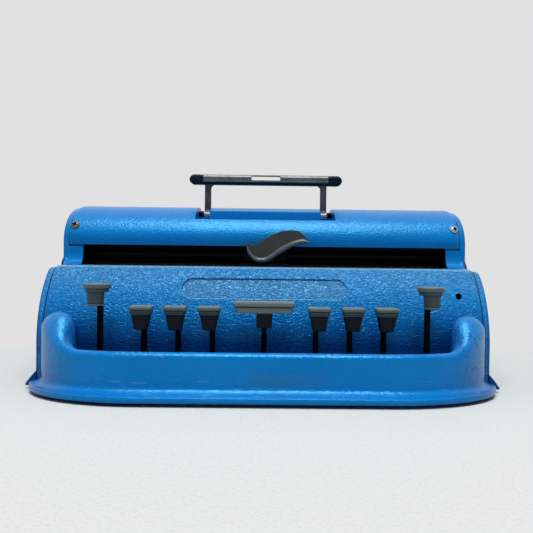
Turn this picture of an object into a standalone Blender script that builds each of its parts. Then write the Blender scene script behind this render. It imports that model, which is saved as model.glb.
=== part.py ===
"""Braille typewriter: a six-key embossing machine, modelled in metres with +Z up.

The front faces -Y, and +X is to the right of someone sitting at the keys. The origin is on the table, under
the middle of the machine. Painted casings stand on a cast base, whose front rises as a guard rail round the
keys. Inside, two frame plates carry the rails, the paper rollers and the shaft that the key levers turn on.
"""

import math

import bmesh
import bpy
from mathutils import Matrix, Vector

MM = 0.001

# Clearances and overruns
GAP = 0.3 * MM
RUNNING_GAP = 0.4 * MM
KNOB_GAP = 0.6 * MM
OVERRUN = 6 * MM
EMBED = 0.8 * MM
WELD = 0.001 * MM

# Feet and floor plate
FOOT_HEIGHT = 2.3 * MM
FOOT_RADIUS = 8 * MM
FOOT_INSET = 63.5 * MM
FRONT_FOOT_SETBACK = 32 * MM
REAR_FOOT_SETBACK = 22 * MM
FLOOR_THICKNESS = 4.4 * MM
FLANGE_MARGIN = 3 * MM
FLANGE_CORNER_WIDTH = 91.5 * MM
FLANGE_CORNER_LAP = 5 * MM
FLANGE_REAR_RADIUS = 12 * MM
REAR_LEDGE = 1.7 * MM

# Key levers: the spaces between their stems set the machine's width
KEY_BLADE = 4 * MM
KEY_LEVER_HEIGHT = 8 * MM
KEY_LEVER_LIFT = 9.5 * MM
KEY_PIVOT_SETBACK = 16.5 * MM
KEY_SHAFT_RADIUS = 2.5 * MM
STEM_DEPTH = 4 * MM
SPACE_TO_DOT = 39 * MM
KEY_PITCH = 25.7 * MM
DOT_TO_END = 33.2 * MM
CAP_OUTSET = 2.4 * MM

# Guard rail and its thick ends
GUARD_SETBACK = 11 * MM
GUARD_THICKNESS = 9 * MM
GUARD_RISE = 29.4 * MM
GUARD_INSET = 5.5 * MM
WELL_FRONT = 24 * MM
WELL_REAR = 16 * MM
COVE_HEIGHT = 5.5 * MM
COVE_REACH_SHARE = 0.92
HORN_WIDTH = 27 * MM
HORN_RISE = 54 * MM
END_KEY_ROOM = 22.4 * MM
HORN_START_ANGLE = 57
HORN_FULL_ANGLE = 12
GUARD_STATIONS = 12

# Casing sheets and their profile, seen from the side
SKIN = 2.2 * MM
END_PANEL_THICKNESS = 4 * MM
END_PANEL_SINK = 1.8 * MM
PANEL_LIFT = 1.5 * MM
PANEL_UPRIGHT = 10 * MM
PANEL_DEPTH = 68 * MM
PANEL_CURVE_RISE = 60.5 * MM
PANEL_CURVE_RADIUS = 73.5 * MM
PANEL_CORNER_RADIUS = 10 * MM
SILL_DEPTH = 4 * MM
SLOT_HEIGHT = 18 * MM
COVER_LIP = 3 * MM
COVER_CURVE_DEPTH = 51 * MM
COVER_CURVE_RISE = 34 * MM
COVER_REAR_RADIUS = 16.8 * MM
COVER_REAR_DROP = 25 * MM

# Front panel field and hole
FIELD_HALF_LENGTH = 66 * MM
FIELD_LIFT = 35.6 * MM
FIELD_HEIGHT = 15.5 * MM
FIELD_DEPTH = 0.7 * MM
PANEL_HOLE_INSET = 18.7 * MM
PANEL_HOLE_LIFT = 39.1 * MM
PANEL_HOLE_RADIUS = 2.5 * MM

# End panel skirt and the cheek at each end of the slot
SKIRT_FLARE = 7.5 * MM
SKIRT_RISE = 7 * MM
SKIRT_DROP = 4.6 * MM
SKIRT_EDGE = 1.4 * MM
SKIRT_REAR_SETBACK = 7 * MM
CHEEK_WIDTH = 13 * MM
CHEEK_DEPTH = 18 * MM
CHEEK_INSET = 0.8 * MM
CHEEK_FILLET = 6 * MM

# Cover screws
SCREW_INSET = 5.7 * MM
SCREW_DROP_ANGLE = 24
SCREW_HEAD_RADIUS = 3.6 * MM
SCREW_HEAD_HEIGHT = 1.8 * MM
SCREW_SHOULDER_SHARE = 0.8
SCREW_RADIUS = 1.7 * MM
SCREW_LENGTH = 9 * MM

# Handle, which stands in a recess of the cover and folds back into a trough
HANDLE_SETBACK = 46.5 * MM
HANDLE_DROP = 6.7 * MM
LEG_LENGTH = 28.4 * MM
LEG_WIDTH = 6 * MM
LEG_DEPTH = 6 * MM
LEG_CLEARANCE = 0.6 * MM
STRAP_HEIGHT = 4 * MM
STRAP_FILLET = 4 * MM
BOSS_RADIUS = 3.6 * MM
BOSS_PROUD = 0.8 * MM
PIN_RADIUS = 1.6 * MM
PIN_COLLAR_RADIUS = 2.6 * MM
PIN_COLLAR_LENGTH = 4.1 * MM
PIN_TAIL = 2 * MM
GRIP_HEIGHT = 9.5 * MM
GRIP_DEPTH = 12 * MM
GRIP_HALF_LENGTH = 72.2 * MM
WINDOW_HALF_LENGTH = 13.8 * MM
WINDOW_HEIGHT = 4.2 * MM
WINDOW_BRIDGE = 0.9 * MM
RECESS_DEPTH = 13 * MM
ISLAND_HALF_WIDTH = 51.2 * MM
ISLAND_SETBACK = 21.5 * MM
TROUGH_ROOM = 2.3 * MM
TROUGH_FRONT_ROOM = 0.8 * MM
TROUGH_DROP = 2.5 * MM

# Inner frame plates
PLATE_RECESS = 0.8 * MM
PLATE_THICKNESS = 3 * MM
PLATE_FRONT_REACH = 23.5 * MM
PLATE_CHEEK_GAP = 0.7 * MM
PLATE_REAR_INSET = 8.8 * MM
PLATE_FRONT_DROP = 25 * MM
PLATE_SHOULDER_DROP = 15 * MM
PLATE_TOP_DROP = 21 * MM

# Key guide comb
COMB_SETBACK = 10.5 * MM
COMB_DEPTH = 6 * MM
COMB_END = 11.4 * MM
COMB_RISE = 4.5 * MM
COMB_FLOOR = 3.3 * MM
COMB_CLEARANCE = 0.5 * MM

# Key caps, each with the height of its underside over the lever
DOT_CAP_LIFT = 24.9 * MM
DOT_CAP_HEIGHT = 17.7 * MM
DOT_CAP_WIDTH = 17.2 * MM
DOT_CAP_DEPTH = 16.5 * MM
DOT_CAP_SHARES = ((0.63, 0, 0.64), (0.80, 0.62, 0.80), (0.88, 0.62, 0.90), (0.92, 0.80, 0.93),
                  (0.96, 0.82, 0.96), (1, 0.93, 1), (0.93, 1, 0.93))
SPACE_CAP_LIFT = 27.2 * MM
SPACE_CAP_HEIGHT = 19.5 * MM
SPACE_CAP_WIDTH = 46 * MM
SPACE_CAP_DEPTH = 16.5 * MM
SPACE_CAP_SHARES = ((0.25, 0, 0.66), (0.265, 0.59, 0.70), (0.93, 0.59, 0.84), (0.94, 0.80, 0.88),
                    (0.98, 0.82, 0.96), (1, 0.94, 1), (0.98, 1, 0.95))
CAP_CORNER_SHARE = 0.16
END_CAP_LIFT = 42.2 * MM
END_CAP_HEIGHT = 17 * MM
END_CAP_RADIUS = 10.2 * MM
END_CAP_SHARES = ((0, 1), (0.90, 1), (1, 0.95), (1, 0.84), (0.86, 0.82), (0.82, 0.66), (0.70, 0.64),
                  (0.66, 0.08), (0.60, 0), (0, 0))

# Rails and spacing rack
LOWER_RAIL_SETBACK = 34.5 * MM
LOWER_RAIL_DROP = 13 * MM
LOWER_RAIL_RADIUS = 4 * MM
UPPER_RAIL_SETBACK = 36.5 * MM
UPPER_RAIL_RISE = 10 * MM
UPPER_RAIL_RADIUS = 3 * MM
RACK_INSET = 1 * MM
RACK_DEPTH = 4 * MM
RACK_RISE = 2 * MM
RACK_HEIGHT = 5.5 * MM
RACK_LEFT_END = 25 * MM
RACK_RIGHT_END = 40 * MM
CELL_PITCH = 6.2 * MM
NOTCH_DEPTH = 1.2 * MM
NOTCH_WIDTH_SHARE = 0.55

# Carriage
HEAD_HALF_WIDTH = 22 * MM
HEAD_RACK_GAP = 1.2 * MM
HEAD_DEPTH = 18.8 * MM
HEAD_BELOW_RAIL = 9 * MM
HEAD_RISE = 0.8 * MM
DIE_HALF_WIDTH = 20 * MM
DIE_BEFORE_RAIL = 8 * MM
DIE_ABOVE_RAIL = 5 * MM
DIE_DEPTH = 16 * MM
PAPER_SLIT = 2.4 * MM
EAR_REACH = 4 * MM
EAR_WIDTH = 3.6 * MM
EAR_HEIGHT = 6.6 * MM
PAWL_THICKNESS = 3.4 * MM
PAWL_BEHIND_RAIL = 2 * MM
PAWL_BELOW_RACK = 2 * MM
PAWL_TAIL = 4 * MM
PAWL_ARM_HEIGHT = 3.8 * MM
PAWL_NOSE_DEPTH = 3 * MM
PAWL_NOSE_RISE = 4 * MM

# Hand lever of the carriage
HAND_LEVER_REACH = 5.5 * MM
HAND_LEVER_LEFT = 16.8 * MM
HAND_LEVER_LENGTH = 56 * MM
HAND_LEVER_LIFT = 3.8 * MM
HAND_LEVER_HEIGHT = 28.3 * MM
HAND_LEVER_PLATE = 4 * MM
HAND_LEVER_RIM = 3 * MM
HAND_LEVER_UPPER_SHARES = ((0, 0.63), (0.04, 0.57), (0.10, 0.55), (0.17, 0.58), (0.25, 0.66), (0.34, 0.78),
                           (0.44, 0.87), (0.53, 0.95), (0.63, 0.99), (0.72, 1), (0.82, 0.97), (0.89, 0.87),
                           (0.94, 0.76), (1, 0.63))
HAND_LEVER_LOWER_SHARES = ((0.91, 0.59), (0.82, 0.55), (0.72, 0.48), (0.63, 0.39), (0.53, 0.27),
                           (0.44, 0.14), (0.38, 0.07), (0.32, 0.01), (0.25, 0), (0.17, 0.01), (0.11, 0.09),
                           (0.05, 0.22), (0.02, 0.35))
HAND_LEVER_RIM_SHARES = ((0.08, 0.39), (0.13, 0.24), (0.19, 0.18), (0.30, 0.18), (0.39, 0.31), (0.49, 0.44),
                         (0.58, 0.55), (0.68, 0.64), (0.77, 0.72), (0.87, 0.77), (0.92, 0.78))
ARM_HALF_WIDTH = 6.2 * MM
ARM_HEIGHT = 5.4 * MM
LEVER_PIN_RADIUS = 1.5 * MM
LEVER_PIN_REACH = 4.5 * MM
LEVER_PIN_RISE = 3.1 * MM

# Paper feed
FEED_SHAFT_RADIUS = 3 * MM
FEED_ROLLER_RADIUS = 11 * MM
ROLLER_ROOM = 3 * MM
ROLLER_RISE = 1.2 * MM
ROLLER_END_ROOM = 12.3 * MM
KNOB_RADIUS = 16 * MM
KNOB_WIDTH = 14.4 * MM
KNOB_BORE_DEPTH = 8 * MM
KNOB_LOBES = 14
KNOB_SCALLOP_SHARE = 0.05
KNOB_RING_SHARES = ((0, 0.94), (0.10, 1), (0.86, 1), (1, 0.90))
RATCHET_RADIUS = 14 * MM
RATCHET_THICKNESS = 4 * MM
RATCHET_OFFSET = 3 * MM
RATCHET_TEETH = 20
RATCHET_TOOTH_SHARE = 0.12
PRESSURE_RADIUS = 5 * MM
PRESSURE_SPINDLE_RADIUS = 2 * MM

# Paper release
RELEASE_ROOM = 2.1 * MM
RELEASE_SHAFT_RADIUS = 3 * MM
RELEASE_ARM_THICKNESS = 3 * MM
RELEASE_ARM_OFFSET = 3.5 * MM
RELEASE_ARM_HUB = 6 * MM
RELEASE_ARM_EYE = 4.6 * MM
RELEASE_LEVER_THICKNESS = 4.5 * MM
RELEASE_LEVER_HUB = 5.4 * MM
RELEASE_LEVER_TIP = 3.6 * MM
RELEASE_LEVER_REACH = 16.5 * MM
RELEASE_LEVER_LEAN = 2 * MM

# Margin rack and stops, and the slot in the rear panel for their tabs
MARGIN_RACK_SETBACK = 26.5 * MM
MARGIN_RACK_DEPTH = 3 * MM
MARGIN_RACK_RISE = 5 * MM
MARGIN_RACK_HEIGHT = 7 * MM
MARGIN_STOP_INSET = 26.3 * MM
MARGIN_STOP_WIDTH = 10 * MM
MARGIN_STOP_WALL = 3.2 * MM
MARGIN_TAB_WIDTH = 6 * MM
MARGIN_TAB_REACH = 9.5 * MM
MARGIN_TAB_HEIGHT = 4.4 * MM
REAR_ROOM = 11.3 * MM
REAR_SLOT_END = 10 * MM
REAR_SLOT_LIFT = 1 * MM
REAR_SLOT_HEIGHT = 8 * MM

# Bell and clapper
BELL_REACH = 1.5 * MM
BELL_DROP = 45 * MM
BELL_RADIUS = 14 * MM
BELL_DEPTH = 13 * MM
BELL_LIP = 3 * MM
BELL_WALL = 1.2 * MM
BELL_POST_RADIUS = 2.5 * MM
CLAPPER_SETBACK = 32 * MM
CLAPPER_BALL_RADIUS = 2.8 * MM
CLAPPER_ARM_RADIUS = 1 * MM
CLAPPER_BOSS_RADIUS = 3 * MM
CLAPPER_REST_GAP = 0.4 * MM

# Heights, from the table up
FLOOR_UNDER = FOOT_HEIGHT + GAP
FLOOR_TOP = FLOOR_UNDER + FLOOR_THICKNESS
STANDING_Z = FLOOR_TOP + GAP
GUARD_TOP = FLOOR_TOP + GUARD_RISE
HORN_TOP = FLOOR_TOP + HORN_RISE
KEY_PIVOT_Z = FLOOR_TOP + KEY_LEVER_LIFT + KEY_LEVER_HEIGHT / 2
KEY_LEVER_TOP = KEY_PIVOT_Z + KEY_LEVER_HEIGHT / 2
PANEL_BOTTOM = KEY_LEVER_TOP + PANEL_LIFT
PANEL_CURVE_START = PANEL_BOTTOM + PANEL_UPRIGHT
PANEL_TOP = PANEL_CURVE_START + PANEL_CURVE_RISE
COVER_EDGE = PANEL_TOP + SLOT_HEIGHT
COVER_CURVE_START = COVER_EDGE + COVER_LIP
CREST_HEIGHT = COVER_CURVE_START + COVER_CURVE_RISE
COVER_REAR_EDGE = CREST_HEIGHT - COVER_REAR_DROP
LOWER_RAIL_Z = PANEL_TOP - LOWER_RAIL_DROP
UPPER_RAIL_Z = PANEL_TOP + UPPER_RAIL_RISE
RACK_TOP = PANEL_TOP + RACK_RISE
HEAD_BOTTOM = LOWER_RAIL_Z - HEAD_BELOW_RAIL
HEAD_TOP = RACK_TOP + HEAD_RISE
DIE_BOTTOM = HEAD_TOP + PAPER_SLIT
DIE_TOP = UPPER_RAIL_Z + DIE_ABOVE_RAIL
LEVER_PIVOT_Z = DIE_BOTTOM + LEVER_PIN_RISE
HAND_LEVER_BOTTOM = PANEL_TOP + HAND_LEVER_LIFT
PAWL_PIVOT_Z = RACK_TOP - RACK_HEIGHT - PAWL_BELOW_RACK
FEED_Z = HEAD_TOP + ROLLER_RISE - FEED_ROLLER_RADIUS
RELEASE_Z = FEED_Z + KNOB_RADIUS + RELEASE_LEVER_HUB + RELEASE_ROOM
MARGIN_RACK_BOTTOM = PANEL_TOP + MARGIN_RACK_RISE
REAR_SLOT_BOTTOM = MARGIN_RACK_BOTTOM + REAR_SLOT_LIFT
RECESS_FLOOR = CREST_HEIGHT - RECESS_DEPTH
HANDLE_PIVOT_Z = CREST_HEIGHT - HANDLE_DROP
GRIP_BOTTOM = HANDLE_PIVOT_Z + LEG_LENGTH
STRAP_TOP = GRIP_BOTTOM + STRAP_HEIGHT
TROUGH_FLOOR = HANDLE_PIVOT_Z - GRIP_DEPTH / 2 - TROUGH_DROP
BELL_Z = PANEL_TOP - BELL_DROP

# Places from front to back, with the machine centred on the origin
HOUSING_SETBACK = GUARD_SETBACK + GUARD_THICKNESS + WELL_FRONT + WELL_REAR
RACK_SETBACK = CHEEK_INSET + CHEEK_DEPTH + PLATE_CHEEK_GAP + RACK_INSET
FEED_SETBACK = RACK_SETBACK + RACK_DEPTH + HEAD_RACK_GAP + HEAD_DEPTH + ROLLER_ROOM + FEED_ROLLER_RADIUS
SLOT_TO_REAR = FEED_SETBACK + MARGIN_RACK_SETBACK + MARGIN_RACK_DEPTH + REAR_ROOM
DEPTH = HOUSING_SETBACK + PANEL_DEPTH + SLOT_TO_REAR + REAR_LEDGE
FRONT_Y = -DEPTH / 2
REAR_Y = DEPTH / 2
FLANGE_CORNER_DEPTH = HOUSING_SETBACK + FLANGE_CORNER_LAP
CORNER_Y = FRONT_Y + FLANGE_CORNER_DEPTH
HOUSING_Y = FRONT_Y + HOUSING_SETBACK
KEY_Y = HOUSING_Y - WELL_REAR
COMB_FRONT_Y = HOUSING_Y + COMB_SETBACK
SLOT_Y = HOUSING_Y + PANEL_DEPTH
CREST_Y = SLOT_Y + COVER_CURVE_DEPTH
HOUSING_REAR_Y = SLOT_Y + SLOT_TO_REAR
PLATE_FRONT_Y = SLOT_Y - PLATE_FRONT_REACH
PLATE_SHOULDER_Y = SLOT_Y + CHEEK_INSET + CHEEK_DEPTH + PLATE_CHEEK_GAP
PLATE_REAR_Y = HOUSING_REAR_Y - PLATE_REAR_INSET
KEY_PIVOT_Y = SLOT_Y + KEY_PIVOT_SETBACK
LOWER_RAIL_Y = SLOT_Y + LOWER_RAIL_SETBACK
UPPER_RAIL_Y = SLOT_Y + UPPER_RAIL_SETBACK
RACK_FRONT_Y = SLOT_Y + RACK_SETBACK
HEAD_FRONT_Y = RACK_FRONT_Y + RACK_DEPTH + HEAD_RACK_GAP
DIE_FRONT_Y = UPPER_RAIL_Y - DIE_BEFORE_RAIL
LEVER_PIVOT_Y = DIE_FRONT_Y - LEVER_PIN_REACH
EAR_FRONT_Y = LEVER_PIVOT_Y - EAR_REACH
HAND_LEVER_REAR_Y = SLOT_Y - HAND_LEVER_REACH
PAWL_PIVOT_Y = LOWER_RAIL_Y + PAWL_BEHIND_RAIL
FEED_Y = SLOT_Y + FEED_SETBACK
RELEASE_Y = FEED_Y
MARGIN_RACK_FRONT_Y = FEED_Y + MARGIN_RACK_SETBACK
HANDLE_PIVOT_Y = SLOT_Y + HANDLE_SETBACK
ISLAND_FRONT_Y = HANDLE_PIVOT_Y - ISLAND_SETBACK
TROUGH_FRONT_Y = HANDLE_PIVOT_Y + LEG_LENGTH - STRAP_FILLET - TROUGH_FRONT_ROOM
TROUGH_REAR_Y = HANDLE_PIVOT_Y + LEG_LENGTH + GRIP_HEIGHT + TROUGH_ROOM
BELL_Y = SLOT_Y - BELL_REACH
CLAPPER_PIVOT_Y = BELL_Y + CLAPPER_SETBACK
PRESSURE_OFFSET = (FEED_ROLLER_RADIUS + PRESSURE_RADIUS + GAP) / math.sqrt(2)
PRESSURE_CENTRE = (FEED_Y + PRESSURE_OFFSET, FEED_Z + PRESSURE_OFFSET)

# Places from the middle out to each side
DOT_PLACES = (SPACE_TO_DOT, SPACE_TO_DOT + KEY_PITCH, SPACE_TO_DOT + 2 * KEY_PITCH)
END_STEM_X = DOT_PLACES[-1] + DOT_TO_END
COMB_HALF_LENGTH = END_STEM_X + COMB_END
GUARD_HALF_WIDTH = END_STEM_X + END_KEY_ROOM + HORN_WIDTH
HOUSING_HALF_WIDTH = GUARD_HALF_WIDTH + GUARD_INSET
FLANGE_HALF_WIDTH = HOUSING_HALF_WIDTH + FLANGE_MARGIN
FLANGE_STRAIGHT = FLANGE_HALF_WIDTH - FLANGE_CORNER_WIDTH
FOOT_X = FLANGE_HALF_WIDTH - FOOT_INSET
HOUSING_INNER_X = HOUSING_HALF_WIDTH - END_PANEL_THICKNESS
CASING_HALF_WIDTH = HOUSING_INNER_X - GAP
PANEL_HOLE_X = CASING_HALF_WIDTH - PANEL_HOLE_INSET
SCREW_X = CASING_HALF_WIDTH - SCREW_INSET
SLOT_HALF_WIDTH = HOUSING_INNER_X - CHEEK_WIDTH
PLATE_X = SLOT_HALF_WIDTH + PLATE_RECESS
PLATE_OUTER_X = PLATE_X + PLATE_THICKNESS
SPAN_X = PLATE_X - GAP
ROLLER_HALF_LENGTH = PLATE_X - ROLLER_END_ROOM
MARGIN_STOP_X = PLATE_X - MARGIN_STOP_INSET
REAR_SLOT_HALF_LENGTH = MARGIN_STOP_X + REAR_SLOT_END
KNOB_X = HOUSING_HALF_WIDTH + KNOB_GAP
LEG_INNER_X = ISLAND_HALF_WIDTH + LEG_CLEARANCE
LEG_OUTER_X = LEG_INNER_X + LEG_WIDTH
BOSS_END_X = LEG_OUTER_X + BOSS_PROUD
NOTCH_HALF_WIDTH = BOSS_END_X + GAP + PIN_COLLAR_LENGTH + GAP
TROUGH_HALF_WIDTH = GRIP_HALF_LENGTH + TROUGH_ROOM
PAWL_X = -HEAD_HALF_WIDTH - GAP - PAWL_THICKNESS

KEYS = (
    ("line_space", -END_STEM_X, "end"),
    ("dot_3", -DOT_PLACES[2], "dot"),
    ("dot_2", -DOT_PLACES[1], "dot"),
    ("dot_1", -DOT_PLACES[0], "dot"),
    ("space", 0, "space"),
    ("dot_4", DOT_PLACES[0], "dot"),
    ("dot_5", DOT_PLACES[1], "dot"),
    ("dot_6", DOT_PLACES[2], "dot"),
    ("backspace", END_STEM_X, "end"),
)

# Each material's colour, roughness and metallic value
MATERIALS = {
    "blue_paint": ((0.008, 0.145, 0.480), 0.38, 0.0),
    "key_plastic": ((0.105, 0.118, 0.120), 0.45, 0.0),
    "navy_plastic": ((0.012, 0.028, 0.060), 0.40, 0.0),
    "black_steel": ((0.012, 0.012, 0.013), 0.45, 0.6),
    "bare_steel": ((0.42, 0.41, 0.40), 0.32, 1.0),
    "brass": ((0.45, 0.33, 0.15), 0.35, 1.0),
    "cast_metal": ((0.30, 0.30, 0.30), 0.50, 1.0),
    "rubber": ((0.02, 0.02, 0.02), 0.85, 0.0),
    "grey_plastic": ((0.045, 0.050, 0.052), 0.35, 0.0),
}

PARTS = "braille_typewriter"
HELPERS = "cutters_and_joined_shapes"
SHARP_ANGLE = math.radians(35)
ROUND_STEPS = 16
FINE_STEPS = 24
CURVE_STEPS = 10

# Where an outline's own u, v and thickness directions point, for a shape that runs along each axis
AXES = {
    "X": Matrix(((0, 0, 1), (1, 0, 0), (0, 1, 0))).to_4x4(),
    "Y": Matrix(((1, 0, 0), (0, 0, -1), (0, 1, 0))).to_4x4(),
    "Z": Matrix.Identity(4),
}


def clear_scene():
    for thing in list(bpy.data.objects):
        bpy.data.objects.remove(thing)
    for name in (PARTS, HELPERS):
        group = bpy.data.collections.new(name)
        bpy.context.scene.collection.children.link(group)


def make_materials():
    for name, (colour, roughness, metallic) in MATERIALS.items():
        material = bpy.data.materials.new(name)
        material.use_nodes = True
        shader = material.node_tree.nodes["Principled BSDF"]
        shader.inputs["Base Color"].default_value = (*colour, 1)
        shader.inputs["Roughness"].default_value = roughness
        shader.inputs["Metallic"].default_value = metallic


def add_object(name, mesh, material=None):
    """Adds a part when a material is named, and otherwise a helper shape that stays out of the model."""
    thing = bpy.data.objects.new(name, mesh)
    if material:
        bpy.data.collections[PARTS].objects.link(thing)
        mesh.materials.append(bpy.data.materials[material].copy())
        mesh.shade_smooth()
        mesh.set_sharp_from_angle(angle=SHARP_ANGLE)
    else:
        bpy.data.collections[HELPERS].objects.link(thing)
        thing.hide_render = True
        thing.display_type = "WIRE"
    return thing


def add_shape(name, shape, material=None):
    mesh = bpy.data.meshes.new(name)
    shape.to_mesh(mesh)
    shape.free()
    return add_object(name, mesh, material)


def face_outwards(shape):
    bmesh.ops.recalc_face_normals(shape, faces=shape.faces)
    if shape.calc_volume(signed=True) < 0:
        bmesh.ops.reverse_faces(shape, faces=shape.faces)


def place(axis, centre, along):
    """The point at a centre in the two directions across an axis, and at a distance along it."""
    u, v = centre
    if axis == "X":
        return Vector((along, u, v))
    if axis == "Y":
        return Vector((u, along, v))
    return Vector((u, v, along))


def box(name, low, high, material=None):
    shape = bmesh.new()
    bmesh.ops.create_cube(shape, size=1)
    size = Vector(high) - Vector(low)
    middle = (Vector(high) + Vector(low)) / 2
    matrix = Matrix.Translation(middle) @ Matrix.Diagonal((*size, 1))
    bmesh.ops.transform(shape, matrix=matrix, verts=shape.verts)
    return add_shape(name, shape, material)


def rod(name, axis, centre, radius, low, high, material=None, steps=ROUND_STEPS):
    shape = bmesh.new()
    matrix = Matrix.Translation(place(axis, centre, (low + high) / 2)) @ AXES[axis]
    bmesh.ops.create_cone(
        shape, cap_ends=True, segments=steps, radius1=radius, radius2=radius, depth=high - low, matrix=matrix
    )
    return add_shape(name, shape, material)


def extrusion(name, outlines, axis, low, high, material=None):
    """A flat outline, with any holes as further outlines, drawn out along an axis from low to high."""
    curve = bpy.data.curves.new(name, "CURVE")
    curve.dimensions = "2D"
    curve.fill_mode = "BOTH"
    curve.extrude = (high - low) / 2
    for outline in outlines:
        spline = curve.splines.new("POLY")
        spline.points.add(len(outline) - 1)
        for point, (u, v) in zip(spline.points, outline):
            point.co = (u, v, 0, 1)
        spline.use_cyclic_u = True
    drawn = bpy.data.objects.new(name + "_outline", curve)
    bpy.context.scene.collection.objects.link(drawn)
    drawn.matrix_world = Matrix.Translation(place(axis, (0, 0), (low + high) / 2)) @ AXES[axis]
    return solid_from_curve(name, drawn, material)


def solid_from_curve(name, drawn, material=None):
    """Turns a filled curve into a closed mesh in world coordinates, and removes the curve."""
    bpy.context.view_layer.update()
    evaluated = drawn.evaluated_get(bpy.context.evaluated_depsgraph_get())
    mesh = bpy.data.meshes.new_from_object(evaluated)
    mesh.transform(drawn.matrix_world)
    mesh.materials.clear()
    bpy.data.objects.remove(drawn)
    shape = bmesh.new()
    shape.from_mesh(mesh)
    bpy.data.meshes.remove(mesh)
    bmesh.ops.remove_doubles(shape, verts=shape.verts, dist=WELD)
    face_outwards(shape)
    return add_shape(name, shape, material)


def turned(name, profile, matrix, material=None, steps=ROUND_STEPS):
    """A profile of radius and height, listed from the top down its outer side, turned about the Z axis."""
    shape = bmesh.new()
    points = [shape.verts.new((radius, 0, height)) for radius, height in profile]
    for first, second in zip(points, points[1:]):
        shape.edges.new((first, second))
    thing = add_shape(name, shape, material)
    thing.matrix_world = matrix
    screw = thing.modifiers.new("Turn", "SCREW")
    screw.axis = "Z"
    screw.steps = steps
    screw.render_steps = steps
    screw.use_merge_vertices = True
    screw.merge_threshold = WELD
    return thing


def loft(name, rings, material=None):
    """A closed solid through rings that have the same number of points, with flat ends."""
    shape = bmesh.new()
    loops = [[shape.verts.new(point) for point in ring] for ring in rings]
    for lower, upper in zip(loops, loops[1:]):
        for i in range(len(lower)):
            j = (i + 1) % len(lower)
            shape.faces.new((lower[i], lower[j], upper[j], upper[i]))
    shape.faces.new(loops[0])
    shape.faces.new(loops[-1])
    face_outwards(shape)
    return add_shape(name, shape, material)


def combine(target, helper, operation):
    step = target.modifiers.new(operation.title() + " " + helper.name, "BOOLEAN")
    step.operation = operation
    step.solver = "EXACT"
    step.object = helper


def cut(target, *helpers):
    for helper in helpers:
        combine(target, helper, "DIFFERENCE")


def join(target, *helpers):
    for helper in helpers:
        combine(target, helper, "UNION")


def joint_axis(name, point, *pieces, parent=None):
    """An empty on a joint's axis that carries pieces, with the shapes that cut or join them."""
    empty = bpy.data.objects.new(name, None)
    empty.location = point
    bpy.data.collections[PARTS].objects.link(empty)
    if parent:
        empty.parent = parent
        empty.matrix_parent_inverse = Matrix.Translation(-place_of(parent))
    for piece in pieces:
        helpers = [step.object for step in piece.modifiers if step.type == "BOOLEAN"]
        for thing in [piece] + helpers:
            thing.parent = empty
            thing.matrix_parent_inverse = Matrix.Translation(-Vector(point))
    return empty


def place_of(empty):
    """Where an empty stands in the world: every one keeps its world place as its location."""
    return Vector(empty.location)


def smooth(share):
    share = min(max(share, 0), 1)
    return share * share * (3 - 2 * share)


def mix(first, second, share):
    return first + (second - first) * share


def arc(centre, radii, start, end, steps):
    """Points of an elliptical arc between two angles in degrees, both ends included."""
    points = []
    for i in range(steps + 1):
        angle = math.radians(mix(start, end, i / steps))
        points.append((centre[0] + radii[0] * math.cos(angle), centre[1] + radii[1] * math.sin(angle)))
    return points


def circle(centre, radius, steps=ROUND_STEPS):
    return arc(centre, (radius, radius), 0, 360, steps)[:-1]


def rectangle(left, bottom, right, top):
    return [(left, bottom), (right, bottom), (right, top), (left, top)]


def stadium(half_length, bottom, height, steps=ROUND_STEPS // 2):
    """A level bar with half-round ends."""
    radius = height / 2
    middle = bottom + radius
    right = arc((half_length - radius, middle), (radius, radius), -90, 90, steps)
    left = arc((radius - half_length, middle), (radius, radius), 90, 270, steps)
    return right + left


def capsule(first, first_radius, second, second_radius, steps=ROUND_STEPS // 2):
    """The outline of a link with a round end at each of two points."""
    turn = math.degrees(math.atan2(second[1] - first[1], second[0] - first[0]))
    far = arc(second, (second_radius, second_radius), turn - 90, turn + 90, steps)
    near = arc(first, (first_radius, first_radius), turn + 90, turn + 270, steps)
    return far + near


def panel_curve(inset, end):
    """The front panel's line: a large arc up from its upright face, a small one, and a level run to an end."""
    large, small = PANEL_CURVE_RADIUS, PANEL_CORNER_RADIUS
    centre = Vector((HOUSING_Y + large, PANEL_CURVE_START))
    turn = 180 - math.degrees(math.asin((PANEL_CURVE_RISE - small) / (large - small)))
    apart = Vector((math.cos(math.radians(turn)), math.sin(math.radians(turn)))) * (large - small)
    line = arc(centre, (large - inset, large - inset), 180, turn, CURVE_STEPS)
    line += arc(centre + apart, (small - inset, small - inset), turn, 90, CURVE_STEPS // 2)[1:]
    return line + [(end, PANEL_TOP - inset)]


def cover_curve(inset):
    """The cover's curve over the crest and down its rear corner."""
    radii = (COVER_CURVE_DEPTH - inset, COVER_CURVE_RISE - inset)
    front = arc((CREST_Y, COVER_CURVE_START), radii, 180, 90, CURVE_STEPS)
    rear_radius = COVER_REAR_RADIUS - inset
    rear_centre = (HOUSING_REAR_Y - COVER_REAR_RADIUS, CREST_HEIGHT - COVER_REAR_RADIUS)
    return front + arc(rear_centre, (rear_radius, rear_radius), 90, 0, CURVE_STEPS // 2)


def flange_outline():
    radii = (FLANGE_HALF_WIDTH - FLANGE_STRAIGHT, FLANGE_CORNER_DEPTH)
    front = arc((FLANGE_STRAIGHT, CORNER_Y), radii, -90, 0, GUARD_STATIONS)
    rear_centre = (FLANGE_HALF_WIDTH - FLANGE_REAR_RADIUS, REAR_Y - FLANGE_REAR_RADIUS)
    rear = arc(rear_centre, (FLANGE_REAR_RADIUS, FLANGE_REAR_RADIUS), 0, 90, CURVE_STEPS // 2)
    half = front + rear
    return half + [(-x, y) for x, y in reversed(half)]


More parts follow.
